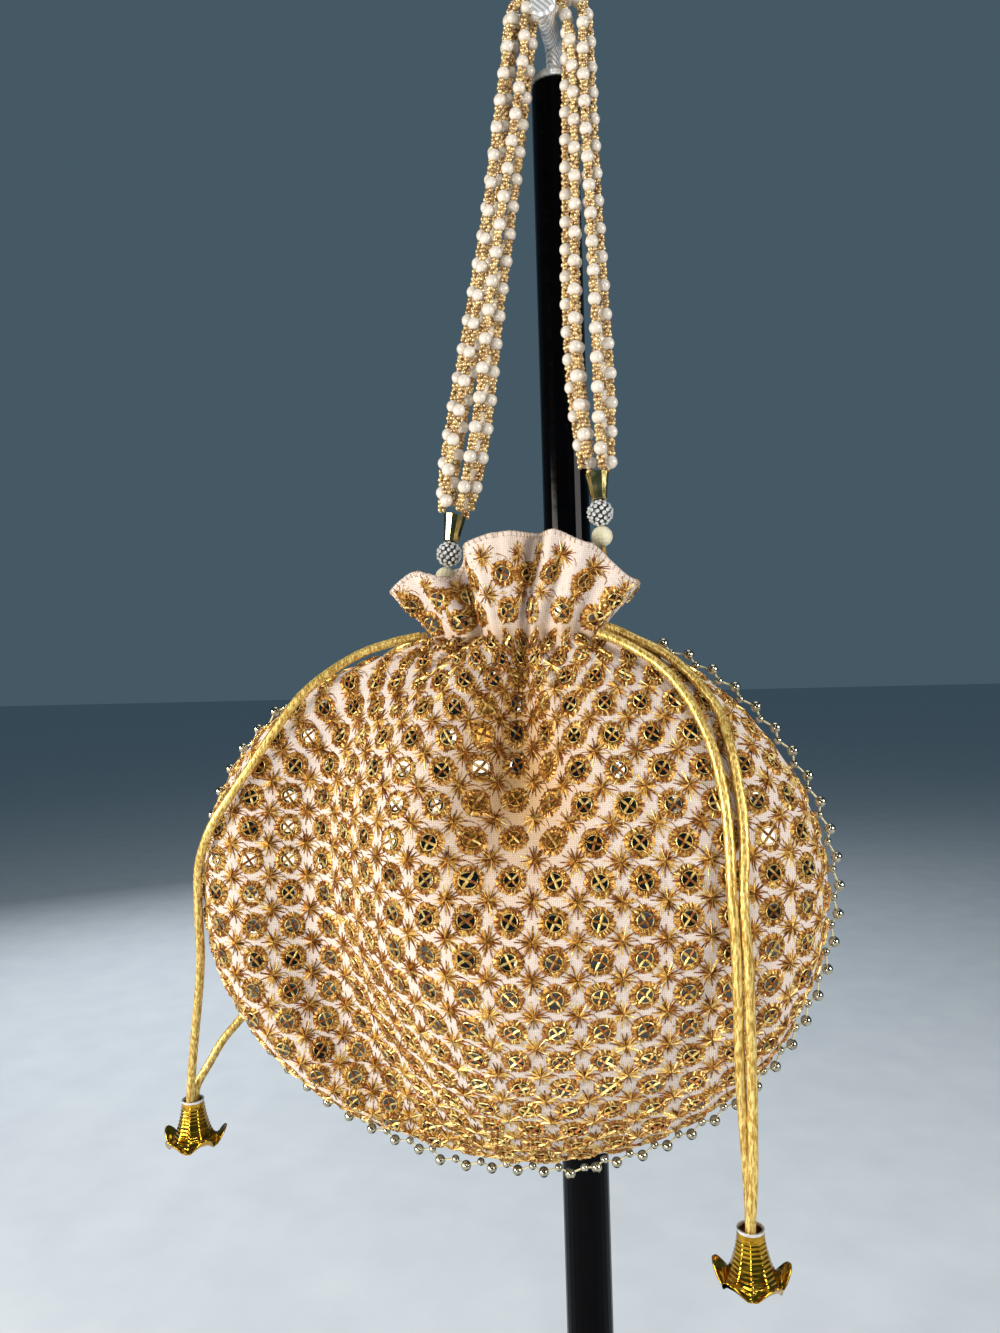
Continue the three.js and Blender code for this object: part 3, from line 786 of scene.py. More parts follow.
@dataclass
class ClothShape:
    """The gathered form of one panel, as a function of angle and row."""

    side: Side
    power: float = 2.6
    half_gap: float = 0.15
    bottom_sag: float = 1.8

    def __post_init__(self) -> None:
        """Pick the tables of this side."""
        table = np.array(SECTIONS, float)
        front = self.side is Side.FRONT
        self.up, self.shift, self.half = table[:, 0], table[:, 1], table[:, 2]
        self.off = table[:, 3] if front else table[:, 4]
        self.rise = table[:, 5]
        self.folds = FRONT_FOLDS if front else BACK_FOLDS
        self.dents = FRONT_DENTS if front else BACK_DENTS
        self.edge = FRONT_EDGE if front else BACK_EDGE

    @property
    def last_row(self) -> float:
        """Number of the topmost row."""
        return float(len(self.up) - 1)

    def fold_depth(self, share: np.ndarray, up: np.ndarray, rise: np.ndarray) -> np.ndarray:
        """Depth of the pleats and dents.

        Args:
            share: Place across, from -1 to 1.
            up: Height over the bottom.
            rise: Share of the way up the ruffle.

        Returns:
            Depth inward, in millimetres.
        """
        depth = np.zeros(share.shape)
        for at, edge_at, deep, edge, width, down in self.folds:
            below = deep * (1 - ease((GATHER_UP - up) / down))
            above = deep + (edge - deep) * ease(rise)
            middle = at + (edge_at - at) * rise
            depth = depth + np.where(rise > 0, above, below) * bump(share - middle, width)
        for at, width, lean, high, reach, deep, flat in self.dents:
            middle = at + lean * (up - high) / 100
            hollow = bump(share - middle, width) * bump(up - high, reach, flat)
            depth = depth + np.where(rise > 0, 0, deep) * hollow
        return depth * (1 - share**6) + self.pucker(share, up, rise)

    @staticmethod
    def pucker(share: np.ndarray, up: np.ndarray, rise: np.ndarray) -> np.ndarray:
        """Small uneven creases that the hand feels, most of them under the gather.

        Args:
            share: Place across, from -1 to 1.
            up: Height over the bottom.
            rise: Share of the way up the ruffle.

        Returns:
            Depth inward, in millimetres.
        """
        soft = 0.45 * np.sin(9.3 * share + 0.05 * up) * np.sin(0.1 * up - 4 * share + 1)
        near = np.exp(-(GATHER_UP - up) / 26) * (1 - 0.6 * rise)
        creases = 0.5 * near * np.sin(41 * share + 0.03 * up + 2 * rise)
        drop = np.maximum(GATHER_UP - up, 0)
        for at, shift, deep, width, down in CREASES:
            middle = at + shift * drop / down
            sharp = np.exp(-np.abs(share - middle) / width)
            creases = creases + deep * sharp * (1 - ease(drop / down)) * (1 - 0.7 * ease(rise))
        return (soft + creases) * (1 - share**6)

    def points(self, angle: np.ndarray, row: np.ndarray) -> np.ndarray:
        """Points of the outer face.

        Args:
            angle: From 0 at the right seam to pi at the left seam.
            row: Row number in the section table, whole or between.

        Returns:
            Points in millimetres.
        """
        angle, row = np.broadcast_arrays(np.asarray(angle, float), np.asarray(row, float))
        up = smooth_rows(self.up, row)
        rise = np.clip(smooth_rows(self.rise, row), 0, 1)
        rise = np.where(row <= GATHER_ROW, 0, rise)
        up = np.where(row >= GATHER_ROW, GATHER_UP, np.minimum(up, GATHER_UP))
        half = smooth_rows(self.half, row)
        off = np.maximum(smooth_rows(self.off, row), 0.02)
        power = 2 / self.power
        share = np.sign(np.cos(angle)) * np.abs(np.cos(angle)) ** power
        lift = np.abs(np.sin(angle)) ** power
        nx = np.sign(share) * np.abs(share) ** (self.power - 1) / half
        ny = lift ** (self.power - 1) / off
        size = np.maximum(np.hypot(nx, ny), 1e-9)
        depth = np.minimum(self.fold_depth(share, up, rise), 0.8 * off)
        x = half * share - depth * nx / size
        y = np.maximum(off * lift - depth * ny / size, 0) + self.half_gap
        sag = self.bottom_sag * (1 - share**2) * (1 - ease(row / 2.5))
        z = BAG_BOTTOM + up + rise * table_at(self.edge, share) - sag
        return np.stack([BAG_X + smooth_rows(self.shift, row) + x, SEAM_Y + self.side.value * y, z], axis=-1)

    def normals(self, angle: np.ndarray, row: np.ndarray) -> np.ndarray:
        """Find the directions out of the outer face.

        Args:
            angle: Angle of each place.
            row: Row of each place.

        Returns:
            Directions of length 1.
        """
        step = 0.004
        reach = 0.02
        left, right = np.clip(angle + step, 0, math.pi), np.clip(angle - step, 0, math.pi)
        over, under = np.clip(row + reach, 0, self.last_row), np.clip(row - reach, 0, self.last_row)
        across = self.points(left, row) - self.points(right, row)
        upward = self.points(angle, over) - self.points(angle, under)
        return unit(np.cross(across, upward)) * self.side.value


@dataclass
class PanelMap:
    """Finds places on a panel from lengths across and up the flat cloth."""

    shape: ClothShape
    widest_row: float = 6.0
    gather_share: float = 0.75
    least_squeeze: float = 0.5

    def __post_init__(self) -> None:
        """Measure the panel."""
        self.angles = np.linspace(0, math.pi, 361)
        self.rows = np.linspace(0, self.shape.last_row, 321)
        grid = self.shape.points(self.angles[None, :], self.rows[:, None])
        steps = np.linalg.norm(np.diff(grid, axis=1), axis=2)
        across = np.concatenate([np.zeros((len(self.rows), 1)), np.cumsum(steps, axis=1)], axis=1)
        self.across = across[:, 180:181] - across
        self.widths = across[:, -1]
        middle = np.linalg.norm(np.diff(grid[:, 90:271:30], axis=0), axis=2).mean(axis=1)
        self.upward = np.concatenate([[0], np.cumsum(middle)])
        widest = np.interp(self.widest_row, self.rows, self.widths) / 2
        above = np.clip((self.rows - self.widest_row) / (GATHER_ROW - self.widest_row), 0, 1)
        drawn_in = widest * (1 - (1 - self.gather_share) * above)
        flat = np.where(self.rows > self.widest_row, drawn_in, self.widths / 2)
        flat = np.where(self.rows > GATHER_ROW, self.widths / 2, flat)
        self.flat_half = np.maximum(flat, self.widths / 2)

    def place(self, p: float, q: float) -> tuple[float, float] | None:
        """Find the angle and row of a place on the flat cloth.

        Args:
            p: Millimetres to the right of the middle.
            q: Millimetres up from the bottom.

        Returns:
            Angle and row, or nothing where the cloth has no such place.
        """
        row = float(np.interp(q, self.upward, self.rows))
        if q <= self.upward[0] or q >= self.upward[-1]:
            return None
        k = int(round(row / self.shape.last_row * (len(self.rows) - 1)))
        along = p * (self.widths[k] / 2) / self.flat_half[k]
        line = self.across[k]
        if not line[-1] < along < line[0]:
            return None
        return float(np.interp(-along, -line, self.angles)), row

    def squeeze(self, row: float) -> float:
        """Share of its width that a motif keeps where the gather draws the cloth in."""
        k = int(round(row / self.shape.last_row * (len(self.rows) - 1)))
        return max(self.least_squeeze, self.widths[k] / 2 / self.flat_half[k])

    def spread(self, at: tuple[float, float], flat: np.ndarray) -> tuple[np.ndarray, np.ndarray]:
        """Turn true millimetres around a place into angles and rows.

        Args:
            at: Angle and row of the place.
            flat: Millimetres right and up, in the last axis.

        Returns:
            Angles and rows.
        """
        angle, row = at
        step, reach = 0.02, 0.05
        dx, dy = flat[..., 0] * self.squeeze(row), flat[..., 1]
        low, high = max(angle - step, 0), min(angle + step, math.pi)
        under, over = max(row - reach, 0), min(row + reach, self.shape.last_row)
        pts = self.shape.points(np.array([low, high, angle, angle]), np.array([row, row, under, over]))
        da = (pts[1] - pts[0]) / (high - low)
        dr = (pts[3] - pts[2]) / (over - under)
        right = -da / np.linalg.norm(da)
        upward = dr - right * np.dot(dr, right)
        upward = upward / np.linalg.norm(upward)
        matrix = np.array([[np.dot(d, way) for d in (da, dr)] for way in (right, upward)])
        turned = np.linalg.solve(matrix, np.stack([dx.ravel(), dy.ravel()]))
        angles = np.clip(angle + turned[0], 0.012, math.pi - 0.012)
        rows = np.clip(row + turned[1], 0.05, self.shape.last_row - 0.02)
        return angles.reshape(dx.shape), rows.reshape(dx.shape)


@dataclass
class EmbroideredPanel:
    """One cloth panel with its ring and star embroidery, sizes in millimetres."""

    side: Side
    palette: Palette
    chance: np.random.Generator
    wall: float = 1.4
    columns: int = 193
    rows: int = 140
    motif_across: float = 14.6
    motif_up: float = 12.5
    seam_rows: tuple[float, float] = (11.7, 13.0)
    ring_in: float = 2.45
    ring_middle: float = 3.9
    ring_out: float = 5.1
    ring_sides: int = 16
    ring_stitches: int = 33
    ring_apart: float = 6.0
    sequin_r: float = 3.15
    sequin_hole_r: float = 0.45
    sequin_sides: int = 12
    star_r: float = 4.9
    star_stitches: int = 32
    star_apart: float = 4.0
    padding: float = 0.55
    hollow_reach: float = 1.2
    hem_points: int = 260
    hem_r: float = 1.0
    hem_pitch: float = 2.3
    hem_loop_r: float = 1.12
    hem_loop_points: int = 11
    hem_thread_r: float = 0.15

    def __post_init__(self) -> None:
        """Measure the panel."""
        self.name = self.side.name.lower()
        self.shape = ClothShape(self.side)
        self.map = PanelMap(self.shape)
        self.work = MeshBuilder()

    def cloth(self) -> bpy.types.Object:
        """Lay the fine cloth with its inner face and its edges.

        Returns:
            The cloth.
        """
        angles = np.linspace(0, math.pi, self.columns + 1)
        rows = np.linspace(0, self.shape.last_row, self.rows + 1)
        grid_a, grid_r = np.meshgrid(angles, rows)
        outer = self.shape.points(grid_a, grid_r)
        normals = self.shape.normals(grid_a, grid_r)
        normals[:, 0, 1] = 0
        normals[:, -1, 1] = 0
        normals[0, :, 1] = 0
        inner = outer - unit(normals) * self.wall
        builder = MeshBuilder()
        count = self.columns + 1
        faces = loop_faces(self.rows + 1, count, closed=False)
        whole = count * (self.rows + 1)
        sheet = np.arange(whole).reshape(self.rows + 1, count)
        rims = []
        for line in (sheet[-1], sheet[0, ::-1], sheet[::-1, 0], sheet[:, -1]):
            rims.append(np.stack([line[1:], line[:-1], line[:-1] + whole, line[1:] + whole], axis=1))
        skin = np.concatenate([faces, faces[:, ::-1] + whole, *rims])
        slots = np.concatenate([np.zeros(len(faces), int), np.ones(len(skin) - len(faces), int)])
        if self.side is Side.FRONT:
            skin = skin[:, ::-1]
        builder.add(np.concatenate([outer.reshape(-1, 3), inner.reshape(-1, 3)]), skin, slots)
        # Painted shade and painted gold bounce light: the outer face darkens and warms in the front's hollow
        # and along the gather; the inner face takes none
        gather = 0.6 * bump(grid_r - GATHER_ROW, 0.8)
        shade = np.maximum(self.deep(grid_a, grid_r), gather).ravel()
        shade = np.concatenate([shade, np.zeros(whole)])
        materials = [self.palette["cloth"], self.palette["lining"]]
        cloth = builder.make(f"cloth_{self.name}", materials, shade=shade)
        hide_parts(f"{self.name}_panel")
        return cloth

    def stitches(
        self,
        at: tuple[float, float],
        starts: np.ndarray,
        ends: np.ndarray,
        width: float,
        high: float,
        slots: np.ndarray,
        lie: tuple = ARCHED,
        under: float = 0.0,
    ) -> None:
        """Sew straight raised stitches around a place.

        Args:
            at: Angle and row of the place.
            starts: Where each stitch starts, in millimetres right and up.
            ends: Where each stitch ends.
            width: Half width of a stitch.
            high: Height of the middle over its edges.
            slots: Thread of each stitch.
            lie: How the stitches lie along their length.
            under: Height of what the stitches cross.
        """
        ways = unit(ends - starts)
        crossways = np.stack([-ways[:, 1], ways[:, 0]], axis=1)
        flat = []
        heights = []
        for share, wide, lift in lie:
            middle = starts + (ends - starts) * share
            for way, up in ((-1, 0.02), (0, 1.0), (1, 0.02)):
                flat.append(middle + crossways * (width * wide * way))
                heights.append(np.full(len(starts), (under + high * up) * lift + 0.03))
        points = self.over_cloth(at, np.stack(flat, axis=1), np.stack(heights, axis=1))
        faces = self.outward(loop_faces(len(lie), 3, closed=False)[:, ::-1])
        starts_at = np.arange(len(starts)) * len(flat)
        all_faces = (faces[None] + starts_at[:, None, None]).reshape(-1, 4)
        self.work.add(points, all_faces, np.repeat(slots, len(faces)))

    def outward(self, faces: np.ndarray) -> np.ndarray:
        """Turn faces laid for the back so that they look out of this side."""
        return faces[:, ::-1] if self.side is Side.FRONT else faces

    def over_cloth(self, at: tuple[float, float], flat: np.ndarray, heights: np.ndarray) -> np.ndarray:
        """Find points over the cloth around a place.

        Args:
            at: Angle and row of the place.
            flat: Millimetres right and up, in the last axis.
            heights: Height of each point over the cloth.

        Returns:
            The points.
        """
        angles, rows = self.map.spread(at, flat)
        return self.shape.points(angles, rows) + self.shape.normals(angles, rows) * heights[..., None]

    def threads(self, at: tuple[float, float], count: int, bright: float, brown: float) -> np.ndarray:
        """Draw the thread of each stitch, with less bright thread in the hollow as painted shade.

        Args:
            at: Angle and row of the place.
            count: How many stitches.
            bright: Share of bright thread.
            brown: Share of brown thread.

        Returns:
            A slot for each stitch.
        """
        # Painted shade: the deeper in the hollow, the less bright thread
        bright = bright * (1 - 0.75 * self.deep(*at))
        return self.chance.choice(3, count, p=(bright, brown, 1 - bright - brown))

    def ring(self, at: tuple[float, float]) -> None:
        """Sew one padded ring with crossing radial stitches over it.

        Args:
            at: Angle and row of its middle.
        """
        around = circle(np.linspace(0, 2 * math.pi, self.ring_sides, endpoint=False))
        level = np.ones(self.ring_sides)
        flat, heights = [], []
        radii = (self.ring_in, self.ring_middle, self.ring_out)
        for radius, high, ragged in zip(radii, PAD_HEIGHTS, PAD_RAGGED):
            reach = radius + self.chance.normal(0, ragged, self.ring_sides)
            flat.append(around * reach[:, None])
            heights.append(level * high)
        self.patch(at, np.stack(flat), np.stack(heights), MID_THREAD)
        rim = np.stack([around * (self.ring_in + step) for step, _ in RIM_PROFILE])
        rim_heights = np.stack([level * high for _, high in RIM_PROFILE])
        # Painted shade: in the hollow the rim takes the darker packed thread instead of the bright one
        rim_thread = MID_THREAD if self.deep(*at) > IN_HOLLOW else BRIGHT_THREAD
        self.patch(at, rim, rim_heights, rim_thread)
        n = self.ring_stitches
        turn = np.linspace(0, 2 * math.pi, n, endpoint=False) + self.chance.normal(0, 0.08, n)
        lean = turn + self.chance.normal(0, 0.2, n)
        inside = self.chance.uniform(self.ring_in - 0.1, self.ring_in + 0.7, n)
        outside = self.chance.uniform(self.ring_out - 0.6, self.ring_out + 0.55, n)
        starts, ends = circle(turn) * inside[:, None], circle(lean) * outside[:, None]
        half, high, bright, brown = RING_SEWN
        slots = self.threads(at, n, bright, brown)
        self.stitches(at, starts, ends, half, high, slots, under=self.padding)

    def patch(self, at: tuple[float, float], flat: np.ndarray, heights: np.ndarray, slot: int) -> None:
        """Lay rings of points on the cloth around a place.

        Args:
            at: Angle and row of the place.
            flat: Rings of points in millimetres right and up, from the middle out.
            heights: Height of each point over the cloth.
            slot: Material of the faces.
        """
        faces = self.outward(loop_faces(flat.shape[0], flat.shape[1]))
        self.work.add(self.over_cloth(at, flat, heights), faces, slot)

    def sequin(self, at: tuple[float, float]) -> None:
        """Lay one sequin with its hole and the cross that holds it.

        Args:
            at: Angle and row of its middle.
        """
        around = circle(np.linspace(0, 2 * math.pi, self.sequin_sides, endpoint=False))
        tilt = self.chance.normal(0, 0.05, 2)
        flat, heights = [], []
        for radius, high in ((self.sequin_hole_r, 0.42), (self.sequin_r * 0.6, 0.42), (self.sequin_r, 0.5)):
            flat.append(around * radius)
            heights.append(high + flat[-1] @ tilt)
        angles, rows = self.map.spread(at, np.stack(flat))
        middle_a, middle_r = np.array([at[0]]), np.array([at[1]])
        normal = self.shape.normals(middle_a, middle_r)[0]
        base = self.shape.points(angles, rows)
        centre = self.shape.points(middle_a, middle_r)[0]
        lifted = (base - centre) @ normal
        stiff = 0.85 * min(1.0, 0.7 / max(float(np.abs(lifted).max()), 0.01))
        points = base - normal * (lifted * stiff)[..., None] + normal * np.stack(heights)[..., None]
        self.work.add(points, self.outward(loop_faces(3, self.sequin_sides)), self.film(at))
        ends = circle(self.chance.normal(0, 0.25) + math.pi / 4 + np.arange(4) * math.pi / 2)
        half, high, bright, brown = CROSS_SEWN
        slots = self.threads(at, len(ends), bright, brown)
        self.stitches(at, ends * 0.05, ends * self.sequin_r, half, high, slots, LEVEL, self.padding)

    def deep(self, angle: np.ndarray | float, row: np.ndarray | float) -> np.ndarray:
        """Tell how deep in the front's hollow places lie, which sets where painted shade and painted gold
        reflection go.

        Args:
            angle: Angle of each place.
            row: Row of each place.

        Returns:
            0 outside the hollow, 1 at its bottom.
        """
        if self.side is Side.BACK:
            return np.zeros(np.shape(angle))
        across = np.cos(angle)
        share = np.sign(across) * np.abs(across) ** (2 / self.shape.power)
        up = smooth_rows(self.shape.up, np.asarray(row, float))
        middle, width, _, high, reach, _, _ = self.shape.dents[0]
        wide, tall = width * self.hollow_reach, reach * self.hollow_reach
        return bump(share - middle, wide) * bump(up - high, tall)

    def film(self, at: tuple[float, float]) -> int:
        """Pick the film of a sequin: mostly one with a painted gold reflection in the hollow, dark elsewhere.
        """
        return PAINTED_REFLECTION_FILM if self.deep(*at) > IN_HOLLOW and self.chance.random() < 0.8 else DARK_FILM

    def star(self, at: tuple[float, float]) -> None:
        """Sew one star of fronds and the fine thread that runs on from it.

        Args:
            at: Angle and row of its middle.
        """
        n = self.star_stitches
        turn = np.linspace(0, 2 * math.pi, n, endpoint=False) + self.chance.normal(0, 0.1, n)
        ends = circle(turn)
        outside = self.star_r * np.where(np.arange(n) % 2 == 0, 1.05, 0.7) + self.chance.normal(0, 0.25, n)
        half, high, bright, brown = STAR_SEWN
        slots = self.threads(at, n, bright, brown)
        self.stitches(at, ends * 0.2, ends * outside[:, None], half, high, slots, FALLING)
        tail = np.array(STAR_TAIL)
        slots = np.full(len(tail) - 1, BROWN_THREAD)
        self.stitches(at, tail[:-1], tail[1:], *TAIL_SEWN, slots, FALLING)

    def embroider(self) -> bpy.types.Object:
        """Sew all the motifs of the panel.

        Returns:
            The embroidery.
        """
        reach_p = int(self.map.flat_half.max() / self.motif_across) + 1
        reach_q = int(self.map.upward[-1] / self.motif_up) + 1
        rings, stars = [], []
        for j in range(reach_q):
            for i in range(-reach_p, reach_p + 1):
                at = self.find(i, j + 0.45, self.ring_out)
                if at and self.clear(at, rings, self.ring_apart):
                    self.ring(at)
                    self.sequin(at)
        for j in range(reach_q):
            for i in range(-reach_p, reach_p + 1):
                at = self.find(i + 0.5, j + 0.95, self.star_r)
                free = at and self.clear(at, rings, self.star_apart, keep=False)
                if free and self.clear(at, stars, self.ring_apart):
                    self.star(at)
        LOG.info("%s panel: %d rings, %d stars", self.name, len(rings), len(stars))
        names = ("zari_bright", "zari_brown", "zari_mid", "sequin", "sequin_painted_reflection")
        return self.work.make(f"embroidery_{self.name}", [self.palette[name] for name in names], smooth=False)

    def clear(
        self, at: tuple[float, float], placed: list[np.ndarray], apart: float, keep: bool = True
    ) -> bool:
        """Tell whether a place is free of motifs, and keep it if it is.

        Args:
            at: Angle and row of the place.
            placed: Middles of the motifs sewn so far.
            apart: Least distance to them.
            keep: Whether a free place is added to them.

        Returns:
            Whether it is free.
        """
        middle = self.shape.points(np.array([at[0]]), np.array([at[1]]))[0]
        if placed and np.min(np.linalg.norm(np.array(placed) - middle, axis=1)) < apart:
            return False
        if keep:
            placed.append(middle)
        return True

    def find(self, i: float, j: float, reach: float) -> tuple[float, float] | None:
        """Find a motif's place, if it lies wholly on the cloth.

        Args:
            i: Column of the repeat.
            j: Row of the repeat.
            reach: Radius of the motif.

        Returns:
            Angle and row, or nothing.
        """
        p, q = i * self.motif_across, j * self.motif_up
        place = self.map.place(p, q)
        sides = [self.map.place(p + way * reach * 1.1, q) for way in (-1, 1)]
        ends = [self.map.place(0, q + way * reach * 0.6) for way in (-1, 1)]
        if place is None or None in sides or None in ends or self.seam_rows[0] < place[1] < self.seam_rows[1]:
            return None
        return place

    def hem(self) -> bpy.types.Object:
        """Roll the hem along the ruffle's edge and sew it over.

        Returns:
            The hem.
        """
        angles = np.linspace(0.02, math.pi - 0.02, self.hem_points)
        rows = np.full(len(angles), self.shape.last_row)
        line = self.shape.points(angles, rows) - self.shape.normals(angles, rows) * (self.wall / 2)
        builder = MeshBuilder()
        builder.tube(line, self.hem_r, 8, 0)
        path = Path(line, fineness=1)
        along = np.arange(1.0, path.length - 1.0, self.hem_pitch)
        tangents, sides, backs = path.frames(along)
        turn = np.linspace(0, 2 * math.pi, self.hem_loop_points)
        onward = np.linspace(-0.5, 0.5, self.hem_loop_points)[:, None]
        for centre, tangent, side, back in zip(path.at(along), tangents, sides, backs):
            loop = centre + self.hem_loop_r * turned(turn, side, back) + tangent * onward
            builder.tube(loop, self.hem_thread_r, 4, 1)
        return builder.make(f"hem_{self.name}", [self.palette["cloth"], self.palette["stitch"]])

    def build(self) -> bpy.types.Object:
        """Build the cloth, its embroidery and its hem.

        Returns:
            The cloth.
        """
        cloth = self.cloth()
        embroidery = self.embroider()
        hem = self.hem()
        length = float(self.map.upward[-1])
        return cloth


@dataclass
class SeamTrim:
    """The row of chromed beads on a thread round the seam, sizes in millimetres."""

    palette: Palette
    pitch: float = 10.0
    large_r: float = 2.0
    small_r: float = 1.5
    thread_r: float = 0.4
    offset: float = 2.9
    hang: float = 0.5
    sag: float = 2.2
    large_out: float = 0.9
    small_in: float = 1.2
    small_place: float = 0.42
    right_row: int = 11
    left_row: int = 9

    def line(self) -> Path:
        """Find the line that the beads follow, right shoulder to left.

        Returns:
            The line.
        """
        rows = np.concatenate([np.arange(self.right_row, -1, -1), np.arange(0, self.left_row + 1)])
        ways = np.concatenate([np.ones(self.right_row + 1), -np.ones(self.left_row + 1)])
        table = np.array(SECTIONS, float)
        across = BAG_X + table[rows, 1] + ways * table[rows, 2]
        stops = np.stack([across, np.full(len(rows), SEAM_Y), BAG_BOTTOM + table[rows, 0]], axis=1)
        path = Path(stops, fineness=20)
        tangents, _, _ = path.frames(path.lengths)
        outward = np.stack([-tangents[:, 2], np.zeros(len(tangents)), tangents[:, 0]], axis=1)
        middle = np.array([BAG_X, SEAM_Y, BAG_BOTTOM + 100])
        facing = np.sign(np.sum(outward * (path.points - middle), axis=1))
        outward *= facing[:, None]
        away = self.offset + self.hang + self.sag * np.clip(-outward[:, 2], 0, 1) ** 2
        return Path(path.points + outward * away[:, None], fineness=1)

    def build(self) -> bpy.types.Object:
        """String the beads.

        Returns:
            The string of beads.
        """
        path = self.line()
        builder = MeshBuilder()
        bead = ball_template(14, 9)
        count = int(path.length // self.pitch)
        along = (np.arange(count) + 0.5) * path.length / count
        tangents, _, _ = path.frames(along)
        large = path.at(along) + np.cross(tangents, (0.0, 1.0, 0.0)) * self.large_out
        near = along + self.small_place * path.length / count
        tangents, _, _ = path.frames(near)
        small = path.at(near) - np.cross(tangents, (0.0, 1.0, 0.0)) * self.small_in
        builder.copies(bead, large, round_bases(count, self.large_r), 0)
        builder.copies(bead, small, round_bases(count, self.small_r), 0)
        builder.tube(np.stack([large, small], axis=1).reshape(-1, 3), self.thread_r, 6, 1)
        trim = builder.make("bead_string", [self.palette["trim_bead"], self.palette["trim_thread"]])
        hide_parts("bead_trim")
        return trim


@dataclass
class LilyBell:
    """A hollow gold flower on the ends of two cords, sizes in millimetres."""

    node: str
    x: float
    y: float
    top: float
    turn: float
    petals: int = 5
    petal_out: float = 2.9
    petal_up: float = 6.0
    facets: int = 10
    rib: float = 0.15
    rib_pitch: float = 1.35
    wall: float = 0.7
    rim: float = 0.9
    loops: int = 61
    sides: int = 80

    def rings(self, inset: float) -> np.ndarray:
        """Lay the rings of one face of the wall.

        Args:
            inset: How far the face lies inside the outer one.

        Returns:
            Rings of points, neck first.
        """
        table = np.array(BELL_RINGS, float)
        place = np.linspace(0, len(table) - 1, self.loops)
        drop = smooth_rows(table[:, 0], place)[:, None]
        radius = smooth_rows(table[:, 1], place)[:, None]
        petal = np.clip(smooth_rows(table[:, 2], place), 0, 1)[:, None]
        angle = np.linspace(0, 2 * math.pi, self.sides, endpoint=False)[None, :]
        curl = petal * (1 + np.cos(self.petals * angle)) / 2
        plain = (1 - petal) * ease((drop - 1.5) / 2)
        rib = self.rib * np.cos(drop * 2 * math.pi / self.rib_pitch) * plain
        facet = math.pi / self.facets
        flat = math.cos(facet) / np.cos(np.mod(angle, 2 * facet) - facet)
        r = radius * (1 + (flat - 1) * plain) + self.petal_out * curl
        down = drop - self.petal_up * curl
        run, flare = np.gradient(down, axis=0), np.gradient(r, axis=0)
        length = np.hypot(run, flare)
        r = r + (rib - inset) * run / length
        z = self.top - down + (rib - inset) * flare / length
        x = self.x + r * np.cos(angle + self.turn)
        y = self.y + r * np.sin(angle + self.turn)
        return np.stack([x, y, np.broadcast_to(z, r.shape)], axis=-1)

    def build(self, palette: Palette) -> bpy.types.Object:
        """Build the wall with its ribs, flutes and petals.

        Args:
            palette: The materials.

        Returns:
            The bell.
        """
        outer = self.rings(0.0)
        inner = self.rings(self.wall)[::-1]
        skin = np.concatenate([outer, inner, outer[:1]])
        faces = loop_faces(len(skin), self.sides)[:, ::-1]
        level = skin.reshape(-1, 3)[faces, 2].mean(axis=1)
        builder = MeshBuilder()
        builder.add(skin, faces, np.where(level > self.top - self.rim, 1, 0))
        bell = builder.make(f"{self.node}_flower", [palette["bell"], palette["steel"]])
        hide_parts(self.node)
        return bell


@dataclass
class Drawstrings:
    """Two pairs of gold cords, each pair ending in a bell, sizes in millimetres."""

    palette: Palette
    thick: float = 3.4
    sides: int = 20
    steps: int = 150
    yarns: int = 4
    yarn_relief: float = 0.035
    lay_length: float = 14.0

    BELLS = {
        "right": LilyBell("bell_right", 64.8, -88.5, 178.5, 0.3),
        "left": LilyBell("bell_left", -153.5, -46.0, 188.0, 0.55),
    }

    def cord(self, name: str) -> tuple[bpy.types.Object, Path]:
        """Lay one cord as a tube with a soft twist.

        Args:
            name: Name of the route.

        Returns:
            The cord and its line.
        """
        path = Path(np.array(CORD_ROUTES[name], float))
        along = np.linspace(0, path.length, self.steps + 1)
        middle = path.at(along)
        _, side, back = path.frames(along)
        turn = np.linspace(0, 2 * math.pi, self.sides, endpoint=False)
        lay = along[:, None] * 2 * math.pi / self.lay_length
        radius = self.thick / 2 * (1 + self.yarn_relief * np.cos(self.yarns * (turn[None, :] + lay)))
        builder = MeshBuilder()
        skin = middle[:, None] + hoops(turn, side, back) * radius[..., None]
        builder.add(skin, loop_faces(len(along), self.sides), 0)
        for end, way in ((0, 1), (len(along) - 1, -1)):
            corner = np.arange(self.sides)[None, ::-1]
            builder.add(skin[end], corner[:, ::way], 0)
        obj = builder.make(f"{name}_satin", [self.palette["cord"]])
        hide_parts(name)
        return obj, path

    def build(self) -> list[bpy.types.Object]:
        """Lay the cords, hang the bells and log the length of each cord.

        Returns:
            The bells and the cords.
        """
        made = []
        for side, bell in self.BELLS.items():
            flower = bell.build(self.palette)
            made.append(flower)
            for letter in "ab":
                obj, path = self.cord(f"cord_{side}_{letter}")
                LOG.info("%s is %.1f mm long", obj.name, path.length)
                path.points[0] * MM
                path.length * MM
                self.thick * MM
                path.points * MM
                made.append(obj)
        return made


